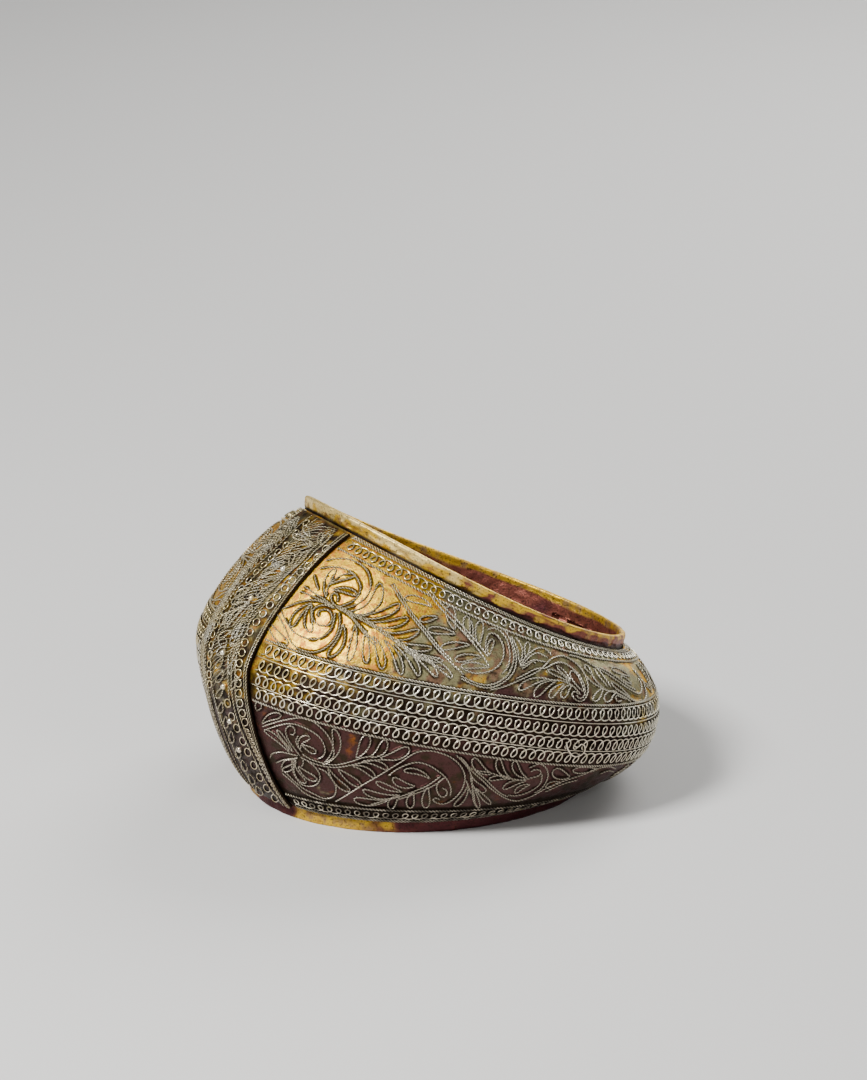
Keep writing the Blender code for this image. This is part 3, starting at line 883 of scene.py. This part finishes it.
def cuff_finish():
    """Worn gilding over brown and purple tarnish, with pits and scratches, and painted shade along the shell."""
    finish = Finish("gilt_cuff", metallic=0.85)
    gold, amber, dark, crevice_shade = finish.patina_and_shade()
    mottle = finish.noise(420, 5)
    fine = finish.noise(2400, 3)
    streak = finish.noise(260, 4, stretch=(1, 1, 5))
    gilt = finish.mix(finish.ramp(mottle, 0.46, 0.66) * 0.8, BRIGHT_GOLD, DUSKY)
    tone = finish.mix(finish.ramp(gold + mottle * 0.7, 0.6, 1.1), MAROON, gilt)
    tone = finish.mix(finish.ramp(gold + mottle * 0.5, 1.2, 1.7), tone, PALE_GOLD)
    tone = finish.mix(finish.ramp(amber + mottle * 0.5, 0.6, 1.1), tone, AMBER_TONE)
    tone = finish.mix(finish.ramp(dark + streak * 0.5, 0.5, 1.25), tone, DARK_MAROON)
    tone = finish.mix(finish.ramp(fine, 0.53, 0.66) * 0.75, tone, SHADE_AND_PIT_DARK)
    # Painted shade in the trough along the shell, broken by streaks
    tone = finish.mix(finish.ramp(crevice_shade + streak * 0.4, 0.4, 1.1), tone, SHADE_AND_PIT_DARK)
    finish.colour(tone)
    finish.roughness(0.32 + mottle * 0.3)
    finish.bump(mottle * 0.5 + fine * 0.5, 0.0002)
    return finish.material


GROUND = ground_finish()
TWISTED = wire_finish("twisted_wire", True)
PLAIN = wire_finish("plain_wire", False)
CUFF_GILT = cuff_finish()


# The cuff

def cuff_tints(points, from_top, outside):
    """Gold, amber, dark and crevice shade of the cuff: gilt at its lip, tarnished by the shell and inside,
    with painted shade in the trough along the shell.
    """
    around = np.degrees(np.abs(np.arctan2(points[..., 1], points[..., 0])))
    patch, fine = ripple(points, 14.0, 51), ripple(points, 3.5, 52)
    lip = smooth_step(GILT_STRIP + 0.3 * fine, GILT_STRIP - 0.5 + 0.3 * fine, from_top)
    left = smooth_step(75, 40, around)
    lower = (points[..., 2] < 0) & outside
    bright_lip = smooth_step(0.9, 0.5, from_top)
    gold_out = np.clip(0.26 * lip + 0.6 * bright_lip + 0.75 * left + 0.36 * fine, 0, 1) + 0.4 * left
    gold_low = np.clip(0.85 * smooth_step(4, 22, around) * smooth_step(62, 30, around) + 0.12 * fine, 0, 1)
    gold_in = np.clip(smooth_step(2.4, 0.7, from_top) + 0.15 * patch, 0, 1)
    gold = np.where(outside, np.where(lower, gold_low, gold_out), gold_in)
    amber_share = np.where(outside, 0.6 - 0.45 * left, 0.5 - 0.5 * gold_in)
    amber = np.clip(0.25 + 0.35 * patch + 0.15 * fine, 0, 1) * amber_share
    dark_out = np.where(lower, 1 - gold_low, np.clip((1 - lip) * (1 - 0.8 * left), 0, 1))
    dark = np.where(outside, dark_out, (1 - gold_in) * np.clip(0.3 + 0.25 * ripple(points, 11.0, 53), 0, 1))
    from_bottom = points[..., 2] - lower_rim(points[..., 0])
    trough = np.where(lower, from_bottom, from_top)
    # Painted shade in the trough where the collar meets the shell
    crevice_shade = np.where(outside, smooth_step(COLLAR - 1.3, COLLAR - 0.1, trough), 0) * 0.9
    return np.stack([gold, amber, dark, crevice_shade], -1)


def make_cuff():
    """Sheet wall as a closed section carried round: outer face up, over the rounded lip, inner face down."""
    phi = np.linspace(0, 2 * math.pi, 420, endpoint=False)[:, None]
    wall, lip = CUFF_WALL, CUFF_WALL / 2
    radius = cuff_radius(phi)
    columns = []

    def column(inset, from_top=None, from_bottom=None, share=None):
        inset = inset + 0 * phi
        flat_x = (radius - inset) * np.cos(phi)
        top, bottom = upper_rim(flat_x, phi), lower_rim(flat_x)
        if from_top is not None:
            height = top - from_top
        elif from_bottom is not None:
            height = bottom + from_bottom
        else:
            height = bottom + share * (top - bottom)
        columns.append((inset, height, top - height))

    for rise in np.linspace(0, FINE_OUTSIDE, 12):
        column(0.0, from_bottom=rise)
    for share in (0.35, 0.5, 0.65):
        column(0.0, share=share)
    for drop in np.linspace(FINE_OUTSIDE, lip, 22):
        column(0.0, from_top=drop)
    for angle in np.linspace(0, math.pi, 9)[1:-1]:
        column(lip - lip * math.cos(angle), from_top=lip - lip * math.sin(angle))
    for drop in np.linspace(lip, FINE_INSIDE, 12):
        column(wall, from_top=drop)
    for share in np.linspace(0.86, 0.06, 26):
        column(wall, share=share)
    column(wall, from_bottom=0.0)
    inset, height, from_top = (np.concatenate([c[k] for c in columns], 1) for k in range(3))
    outside = inset < lip
    around = phi + 0 * inset
    rough = np.stack([radius * np.cos(around), radius * np.sin(around), height], -1)
    upright = rough * [1, 1, 0.2]
    strip_edge = GILT_STRIP + 0.28 * ripple(upright, 4.0, 61) + 0.15 * ripple(upright, 1.5, 62)
    strip = smooth_step(strip_edge + 0.1, strip_edge - 0.12, from_top) * outside
    bead = np.exp(-((from_top - lip) / LIP_BEAD_WIDE) ** 2) * LIP_BEAD
    dents = 0.05 * ripple(rough, 6.0, 63) + 0.03 * ripple(rough, 2.2, 64)
    from_rim = np.minimum(from_top, height - lower_rim(rough[..., 0]))
    bare = np.where(outside, smooth_step(COLLAR + 0.2, COLLAR - 0.4, from_rim), 1)
    outward = np.where(outside, 1, -1)
    final = radius - inset + outward * (GILT_STRIP_PROUD * strip + bead) + dents * bare
    points = np.stack([final * np.cos(around), final * np.sin(around), height], -1)
    faces = grid_faces(*points.shape[:2], True, True)
    tints = cuff_tints(points, from_top, outside)
    piece = new_mesh("cuff_sheet", points, [faces], CUFF_GILT, colour=tints.reshape(-1, 4))
    face_outwards(piece)
    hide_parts("inner_cuff")


def make_shell_ground():
    """Sheet ring: outer face with soft dents, then back along the inside at the wall's thickness."""
    phi = np.linspace(0, 2 * math.pi, SHELL_ROUND, endpoint=False)[:, None]
    s = np.sin(np.linspace(-math.pi / 2, math.pi / 2, SHELL_ACROSS))[None]
    around, share = phi + 0 * s, s + 0 * phi
    plain = shell_place(around, share)
    fade = 1 - np.abs(share) ** 8
    dents = 0.05 * ripple(plain, 7.0, 81) + 0.03 * ripple(plain, 2.4, 82)
    outer = shell_surface(around, share, dents * fade)
    inner_s = np.linspace(0.93, -0.93, 14)[None] + 0 * phi
    inner = shell_surface(phi + 0 * inner_s, inner_s, np.full(inner_s.shape, -SHELL_WALL))
    ends = [shell_place(phi, np.full(phi.shape, end)) for end in (1.0, -1.0)]
    inner = np.concatenate([ends[0], inner, ends[1]], 1)
    turn = np.arctan2(inner[..., 1], inner[..., 0])
    out = np.hypot(inner[..., 0], inner[..., 1])
    out[:, [0, -1]] = 0
    out = np.maximum(out, cuff_radius(turn) + FIT_GAP)
    inner[..., 0], inner[..., 1] = out * np.cos(turn), out * np.sin(turn)
    points = np.concatenate([outer, inner], 1)
    faces = grid_faces(*points.shape[:2], True, True)
    tints = patina_and_shade(points).reshape(-1, 4)
    piece = new_mesh("shell_ground", points, [faces], GROUND, colour=tints)
    face_outwards(piece)
    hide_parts("outer_shell")


def make_shell_rings():
    """Border wires: a twisted pair on each edge of the shell, one inside each edge row and one on each side
    of the band, and thin plain ones between the rows of loops."""
    twisted = {"sides": 6, "step": TWIST_STEP, "lay": TWIST}
    for side, name in ((1, "upper"), (-1, "lower")):
        edges = [lambda phi, d=d: share_from_edge(phi, side, d) for d in EDGE_PAIR]
        pair = [ring_line(law, EDGE_WIRE * RING_SEAT) for law in edges]
        make_wires(name + "_edge_pair", pair, EDGE_WIRE, TWISTED, "filigree", **twisted)
        rows = [lambda phi: row_share(phi, side, ROW_WIRE), lambda phi: band_share(phi, side * BAND_HALF)]
        lines = [ring_line(law, RING_WIRE * RING_SEAT) for law in rows]
        make_wires(name + "_border_wires", lines, RING_WIRE, TWISTED, "filigree", **twisted)
        make_solder(name + "_border_solder", lines, BORDER_SOLDER_HALF, RING_WIRE * RING_SEAT)
    thin = [ring_line(lambda phi, h=h: band_share(phi, h), THIN_LIFT) for h in THIN_WIRES]
    make_wires("thin_wires", thin, THIN_WIRE, PLAIN, "filigree", sides=6, step=0.5)


def make_loops():
    """Four rows of loops in the band and one row inside each edge."""
    lines = []
    for centre, turned in LOOP_ROWS:
        law = lambda phi, u, centre=centre: band_share(phi, centre + LOOP_HALF * u)
        lines.append(loop_row(law, LOOP_PITCH, LOOP_WIDE, LOOP_SLANT, LOOP_UNEVEN, turned))
    make_wires("band_loops", lines, LOOP_WIRE, PLAIN, "filigree", sides=5, step=0.3)
    edge_lines = []
    for side in (1, -1):
        law = lambda phi, u, side=side: row_share(phi, side, EDGE_LOOPS_AT - side * EDGE_LOOP_HALF * u)
        row = loop_row(law, EDGE_LOOP_PITCH, EDGE_LOOP_WIDE, EDGE_LOOP_SLANT, EDGE_LOOP_UNEVEN, side)
        edge_lines.append(row)
    make_wires("edge_loops", edge_lines, LOOP_WIRE, PLAIN, "filigree", sides=5, step=0.3)


def make_scrolls():
    """The traced scrolls of both fields, with solder below them."""
    for name, wire, leaves, vines in (("upper", UPPER_SCROLL_WIRE, UPPER_LEAVES, UPPER_VINES),
                                      ("lower", SCROLL_WIRE, LOWER_LEAVES, LOWER_VINES)):
        lines = scroll_lines(leaves, vines, wire * SCROLL_SEAT)
        make_wires(name + "_scrolls", lines, wire, TWISTED, "filigree")
        make_solder(name + "_solder", lines, SOLDER_HALF, wire * SCROLL_SEAT)
    ring = laid_on_shell([curve_through(STRAY_RING)], STRAY_LIFT)
    make_wires("stray_ring", ring, STRAY_WIRE, PLAIN, "filigree", sides=6, step=0.3)


def field_line(outline, side, start):
    """A line of a field at the back. Its outline holds mm round from the start turn, and a share of the way
    from the row wire to the band's wire."""
    phi = start + outline[:, 0] / BACK_RADIUS
    outer = row_share(phi, side, ROW_WIRE + 0.5)
    inner = band_share(phi, side * (BAND_HALF + 0.5))
    return shell_line(phi, outer + (inner - outer) * outline[:, 1], SCROLL_WIRE * SCROLL_SEAT)


def make_back_scrolls():
    """A plainer running scroll round the hidden back: a wave of vine with leaves to both sides of it. Below,
    it ends where the field gets too low."""
    lines = []
    for side, first, last in BACK_FIELDS:
        start, length = math.radians(first), math.radians(last - first) * BACK_RADIUS
        waves = round(length / BACK_WAVE)
        x = np.linspace(0, length, waves * 24)
        turn = x / length * waves * 2 * math.pi
        for shift in (0, BACK_PAIR):
            lines.append(field_line(np.stack([x, 0.5 + BACK_SWING * np.sin(turn) + shift], -1), side, start))
        for k in range(waves * BACK_LEAVES):
            base = (k + 0.5) / (waves * BACK_LEAVES) * length
            middle = 0.5 + BACK_SWING * math.sin(base / length * waves * 2 * math.pi)
            tip, bend = (0.06, 0.25) if k % 2 else (0.96, -0.25)
            low, high = middle * BACK_FIELD_HIGH, tip * BACK_FIELD_HIGH
            leaf = leaf_outline(base, low, base + 1.5, high, 0.95, bend, 18)
            lines.append(field_line(leaf * [1, 1 / BACK_FIELD_HIGH], side, start))
    lines = mirrored(lines)
    make_wires("back_scrolls", lines, SCROLL_WIRE, TWISTED, "filigree", step=0.45)
    make_solder("back_solder", lines, SOLDER_HALF, SCROLL_WIRE * SCROLL_SEAT)


# The panel

def make_panel_ground():
    """Strap over the shell, from edge to edge, with its under face at the seam's gap and painted shade on its side
    faces.
    """
    s = PANEL_END * np.sin(np.linspace(-math.pi / 2, math.pi / 2, 110))[:, None]
    columns = 60
    side = np.linspace(-PANEL_HALF, PANEL_HALF, columns)[None]
    wide_s, wide = s + 0 * side, side + 0 * s
    outer = panel_surface(wide, wide_s, 0 * wide)
    under = panel_surface(wide, wide_s, -PANEL_SHEET + 0 * wide)[:, ::-1]
    points = np.concatenate([outer, under], 1)
    faces = grid_faces(*points.shape[:2], False, True)
    count = 2 * columns
    ring = np.arange(count)
    caps = [ring[None], (ring[::-1] + (len(points) - 1) * count)[None]]
    tints = panel_patina_and_shade(points)
    # Painted shadow along the panel's side faces
    tints[:, [0, columns - 1, columns, count - 1], 3] = 0.8
    tints = tints.reshape(-1, 4)
    piece = new_mesh("panel_ground", points, [faces, *caps], GROUND, colour=tints)
    face_outwards(piece)
    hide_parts("front_panel")


def panel_patina_and_shade(points):
    """As the shell's, with less bronze, and painted shade over its whole ground, since its pattern is dense."""
    tints = patina_and_shade(points)
    lower = smooth_step(0, -18, points[..., 2])
    tints[..., 0] = np.clip(0.4 + 0.2 * ripple(points, 4.0, 91), 0, 1) * (1 - 0.6 * lower)
    tints[..., 2] = np.clip(0.15 * ripple(points, 4.0, 93) + 0.9 * lower, 0, 1)
    # Painted shade between the dense wires
    tints[..., 3] = np.clip(0.58 + 0.15 * ripple(points, 3.0, 92), 0, 1)
    return tints


def panel_tint(centre, sides):
    colours = panel_patina_and_shade(centre)
    colours[:, 0] = 0.75 + 0.2 * ripple(centre, 5.0, 94)
    return np.repeat(colours, sides, 0)


def panel_lengths():
    """Running length along the panel's middle against the share of half height."""
    s = np.linspace(-PANEL_END, PANEL_END, 900)
    points = panel_surface(0 * s, s, 0 * s)
    run = np.concatenate([[0], np.cumsum(np.linalg.norm(np.diff(points, axis=0), axis=1))])
    return s, run - run[-1] / 2


PANEL_S, PANEL_RUN = panel_lengths()


def panel_wires(name, outlines, radius, material, lift, sides=5, step=0.4):
    """Wires on the panel along outlines that hold mm to the side and mm of running length."""
    lines = []
    for outline in outlines:
        side, s = outline[:, 0], np.interp(outline[:, 1], PANEL_RUN, PANEL_S)
        lines.append((panel_surface(side, s, lift + 0 * side), panel_normal(side, s)))
    make_wires(name, lines, radius, material, "panel_silver", sides, step, tint=panel_tint)


def left_row(run):
    """Side of the row of rings further from the visible edge: it bends in towards the top."""
    return -4.8 + 2.8 * smooth_step(12, 26, run)


def right_row(run):
    """Side of the row of rings nearer the visible edge: it runs wider towards both ends."""
    return 6.05 + np.where(run > 0, 1.8, 1.5) * smooth_step(5, 27, np.abs(run))


def panel_strokes():
    """Fine strokes close together over the panel's upper half: from near its middle they run down to the
    left row and up to the right one, each on a curve side = t, run = t^1.6."""
    strokes, t = [], np.linspace(0, 1, 10)
    for root in np.arange(STROKES_FROM, PANEL_RUN[-1] + 3, STROKE_PITCH):
        middle = 1.5 + 2.1 * smooth_step(11, 22, root)
        for end, rise in ((left_row(root) + 1.4, -3.2), (right_row(root) - 1.7, 3.0)):
            run = root + rise * t ** 1.6
            inside = (run > PANEL_RUN[0] + 0.5) & (run < PANEL_RUN[-1] - 0.5)
            if inside.sum() > 3:
                strokes.append(np.stack([middle + (end - middle) * t, run], -1)[inside])
    return strokes


def laid_on_panel(outlines, lift):
    """Lines of the picture laid on the panel."""
    ends = np.cumsum([len(outline) for outline in outlines])[:-1]
    surface = lambda side, s: panel_surface(side, s, lift + 0 * side)
    limits = (-PANEL_HALF + 0.3, PANEL_HALF - 0.3), (-PANEL_END, PANEL_END)
    side, s = seen_at(np.concatenate(outlines), surface, panel_normal, *limits).T
    return list(zip(np.split(surface(side, s), ends), np.split(panel_normal(side, s), ends)))


def ring_row(centres, half_long, half_wide, lean=0):
    """Closed ovals along a row of places, each set along the row's own direction or leaning from it."""
    centres = np.array(centres, float)
    ahead = unit(np.gradient(centres, axis=0))
    ahead = ahead * math.cos(lean) + np.stack([-ahead[:, 1], ahead[:, 0]], -1) * math.sin(lean)
    angle = np.linspace(0, 2 * math.pi, 15)[:, None]
    return [centre + half_long * np.cos(angle) * way + half_wide * np.sin(angle) * [-way[1], way[0]]
            for centre, way in zip(centres, ahead)]


# Traced lines of the panel, in pixels of the photograph, in the same form as the shell's

PANEL_LEAVES = (
    (314, 545, 296, 546, 6, 4), (312, 546, 290, 553, 6, 2), (290, 556, 272, 566, 6, 2), (286, 562, 266, 573, 6, 1),
    (283, 574, 258, 583, 6, 3), (282, 577, 262, 588, 6, 1), (289, 566, 294, 553, 5, 0), (291, 568, 301, 552, 5, 0),
    (293, 569, 308, 551, 5, 0), (318, 544, 322, 533, 5, 0), (320, 545, 330, 534, 5, 0), (250, 588, 236, 598, 6, 2),
    (250, 603, 234, 609, 6, 2), (236, 610, 225, 624, 7, 2), (247, 605, 225, 627, 6, 2), (252, 604, 249, 617, 5, 0),
    (256, 596, 262, 586, 5, 0), (257, 598, 268, 588, 5, 0), (243, 618, 233, 638, 5, 1), (247, 618, 238, 637, 5, 0),
    (232, 631, 219, 640, 6, 2), (240, 640, 232, 657, 5, 1), (237, 657, 230, 674, 5, 1), (223, 657, 217, 668, 6, 0),
    (224, 671, 217, 682, 6, 0), (223, 687, 217, 698, 6, 0), (262, 545, 282, 533, 9, 1), (253, 556, 268, 546, 7, 1),
    (308, 540, 293, 535, 6, 0), (310, 537, 304, 526, 6, 0), (281, 565, 262, 577, 6, 2), (277, 584, 262, 596, 5, 1),
    (254, 583, 244, 592, 6, 1), (246, 594, 232, 604, 6, 1), (228, 612, 221, 625, 6, 1), (241, 625, 231, 645, 5, 1),
    (226, 646, 218, 655, 6, 1), (239, 677, 231, 690, 5, 1), (222, 702, 220, 713, 6, 0), (226, 716, 226, 728, 6, 0),
    (231, 731, 232, 743, 6, 0), (237, 747, 239, 758, 6, 0), (242, 760, 246, 771, 6, 0), (249, 774, 254, 784, 6, 0),
    (256, 786, 262, 795, 6, 0),
)
PANEL_VINES = (
    ((333, 534), (325, 543), (316, 550), (309, 558), (302, 565), (295, 573), (287, 580), (281, 587), (275, 593),
     (266, 603), (260, 610), (250, 622), (247, 632), (242, 640), (238, 650), (235.5, 662), (235, 676), (235.5, 690),
     (237, 703), (240, 716), (245, 730), (250, 741), (258, 757), (268, 777), (276, 790), (284, 800), (289, 806)),
    ((329, 532), (321, 541), (313, 548), (306, 555.5), (299, 562.5), (292, 570), (284, 577.5), (278, 584),
     (271, 591), (263, 600), (256, 608), (247, 620), (243.5, 630), (239, 638.5), (235, 649), (232, 662), (231.5, 676),
     (232, 690), (233.5, 703), (236.5, 716), (241.5, 731), (247, 743), (254.5, 758), (264, 778), (272, 791),
     (279, 800), (284, 806)),
    ((250, 605), (241, 616), (232, 627)), ((247, 602), (238, 613), (229, 624)), ((253, 608), (244, 619), (235, 630)),
    ((228.5, 655), (228, 670), (228.5, 685), (229.5, 700)),
    ((219, 637), (219, 643), (222, 647), (226, 645), (227, 638)),
    ((213, 690), (216, 704), (220, 716), (226, 730), (232, 743), (238, 757), (244, 769), (252, 784), (260, 797)),
)
RIGHT_RINGS = (
    (326, 549), (317.5, 557.5), (308.5, 566), (300.5, 572), (292.5, 580.5), (285, 588), (277, 597), (270, 605),
    (263, 613.5), (256.5, 622), (250, 632), (245, 642.5), (242, 652.5), (239.5, 663), (238.5, 673), (238.5, 683),
    (239, 693), (240, 703), (242.5, 713), (245, 722),
)
RIGHT_DASHES = (
    (247, 730), (248.8, 734.5), (250.5, 739), (252.2, 743), (254, 747.5), (256, 751.5), (258, 755.5), (260, 760),
    (262.2, 764.5), (264.5, 769), (266.8, 773), (269, 777.5), (271.3, 781.5), (273.6, 785.5), (276.2, 789.5),
    (279, 793.5), (282, 797.5), (285, 801.5), (288, 805.5),
)
LEFT_RINGS = (
    (306, 523), (296, 533), (286, 545), (278, 552), (271.5, 558), (264, 565), (256.5, 572), (249, 580), (241, 588.5),
    (233, 597), (226, 606), (220, 615), (216, 625), (213, 634), (211.5, 645), (210.5, 654), (209.5, 664),
    (209.5, 674), (210, 684),
)
SMALL_RINGS = (
    (228, 703), (232, 716.5), (237, 728), (243, 741), (248, 752), (254, 765), (260, 777), (267, 788), (275, 798),
)
# Half length and half width of a ring or a dash, and how far a dash leans from its row
RIGHT_RING, LEFT_RING, SMALL_RING = (3.9, 3.1), (3.6, 2.0), (4.2, 2.8)
RIGHT_DASH, DASH_LEAN = (0.9, 2.9), 0.9


def make_panel_wires():
    """Border wires, wires beside the left row, fine strokes, rows of rings and dashes, the traced leaves and
    vines, and leaves laid by a rule along the far margin."""
    end_gap = 0.3
    run = np.linspace(PANEL_RUN[0] + end_gap, PANEL_RUN[-1] - end_gap, 240)
    sides = [0 * run + edge * (PANEL_HALF - inset) for edge in (-1, 1) for inset in PANEL_BORDERS]
    borders = [np.stack([law, run], -1) for law in sides]
    panel_wires("panel_edge_wires", borders, PANEL_BORDER_WIRE, TWISTED, PANEL_BORDER_LIFT, sides=6, step=0.5)
    rows = [np.stack([left_row(run) + gap, run], -1) for gap in (-LEFT_ROW_HALF, LEFT_ROW_HALF)]
    panel_wires("panel_row_wires", rows, PANEL_BORDER_WIRE, TWISTED, PANEL_BORDER_LIFT, step=0.45)
    panel_wires("panel_strokes", panel_strokes(), STROKE_WIRE, TWISTED, STROKE_LIFT, step=0.42)
    rings = ring_row(RIGHT_RINGS, *RIGHT_RING) + ring_row(LEFT_RINGS, *LEFT_RING)
    rings += ring_row(SMALL_RINGS, *SMALL_RING) + ring_row(RIGHT_DASHES, *RIGHT_DASH, lean=DASH_LEAN)
    laid = laid_on_panel(rings, PANEL_RING_WIRE)
    make_wires("panel_rings", laid, PANEL_RING_WIRE, PLAIN, "panel_silver", step=0.28, tint=panel_tint)
    outlines = [leaf_outline(*leaf) for leaf in PANEL_LEAVES] + [curve_through(vine) for vine in PANEL_VINES]
    traced = laid_on_panel(outlines, LEAF_LIFT)
    make_wires("panel_leaves", traced, LEAF_WIRE, TWISTED, "panel_silver", tint=panel_tint)
    margin = []
    for root in np.arange(PANEL_RUN[0] + 3, PANEL_RUN[-1] - 4, MARGIN_PITCH):
        left = float(left_row(np.array(root))) - 1.6
        middle = (left - PANEL_HALF) / 2
        margin.append(leaf_outline(left, root, middle + 0.1, root + 2.4, 0.8, 0.3, 18))
        margin.append(leaf_outline(1 - PANEL_HALF, root, middle - 0.2, root + 2.4, 0.7, -0.3, 18))
    panel_wires("panel_margin_leaves", margin, MARGIN_WIRE, TWISTED, MARGIN_LIFT, step=0.42)


def make_granules():
    """Small balls sunk a little into the panel: radius (sin a cos t, sin a sin t, cos a) round each centre."""
    rings, spokes = 13, 20
    angle = np.linspace(0, math.pi, rings)[:, None]
    turn = np.linspace(0, 2 * math.pi, spokes, endpoint=False)[None]
    ball = np.stack(np.broadcast_arrays(
        np.sin(angle) * np.cos(turn), np.sin(angle) * np.sin(turn), np.cos(angle) + 0 * turn), -1)
    points, faces = [], []
    for number, (s, side) in enumerate(GRANULES):
        s, side = np.array([s]), np.array([side])
        centre = panel_surface(side, s, np.array([GRANULE_RADIUS - GRANULE_SUNK]))[0]
        points.append(centre + GRANULE_RADIUS * ball.reshape(-1, 3))
        faces.append(grid_faces(rings, spokes, False, True) + number * rings * spokes)
    points, faces = np.concatenate(points), np.concatenate(faces)
    piece = new_mesh("granules", points, [faces], PLAIN,
                     uv=np.full((len(faces) * 4, 2), 0.25), colour=panel_patina_and_shade(points))
    face_outwards(piece, merge=1e-7)


# The studio

def stand(thing, right, up, back, place):
    """Puts a camera or a light in its place, by its own right, up and back directions."""
    axes = np.eye(4)
    axes[:3] = np.stack([right, up, back, place], 1)
    thing.matrix_world = Matrix(axes.tolist())


def make_studio():
    camera_data = bpy.data.cameras.new("camera")
    camera_data.sensor_width = SENSOR
    camera_data.lens = FOCAL_PIXELS / max(PICTURE) * SENSOR
    camera_data.clip_start, camera_data.clip_end = 0.01, 20
    camera = add_object("camera", camera_data)
    stand(camera, EYE_RIGHT, EYE_UP, EYE_BACK, EYE * MM)
    bpy.context.scene.camera = camera
    floor_mesh = bpy.data.meshes.new("floor")
    corners = [(x * FLOOR_HALF, y * FLOOR_HALF, 0) for x, y in ((-1, -1), (1, -1), (1, 1), (-1, 1))]
    floor_mesh.from_pydata(corners, [], [(0, 1, 2, 3)])
    floor_finish = Finish("floor", metallic=0.0, roughness=0.8)
    floor_finish.colour(FLOOR_COLOUR)
    floor_mesh.materials.append(floor_finish.material)
    add_object("floor", floor_mesh)
    world = bpy.data.worlds.new("studio")
    world.use_nodes = True
    world.node_tree.nodes["Background"].inputs["Color"].default_value = SKY_COLOUR
    world.node_tree.nodes["Background"].inputs["Strength"].default_value = SKY_STRENGTH
    bpy.context.scene.world = world
    for name, place, size, power in LIGHTS:
        light_data = bpy.data.lights.new(name, "AREA")
        light_data.size, light_data.energy = size, power
        back = unit(np.array(place) - LIGHTS_AIM)
        level = unit(np.cross([0, 0, 1], back))
        stand(add_object(name, light_data), level, np.cross(back, level), back, place)


make_studio()
make_cuff()
make_shell_ground()
make_shell_rings()
make_loops()
make_scrolls()
make_back_scrolls()
make_panel_ground()
make_panel_wires()
make_granules()
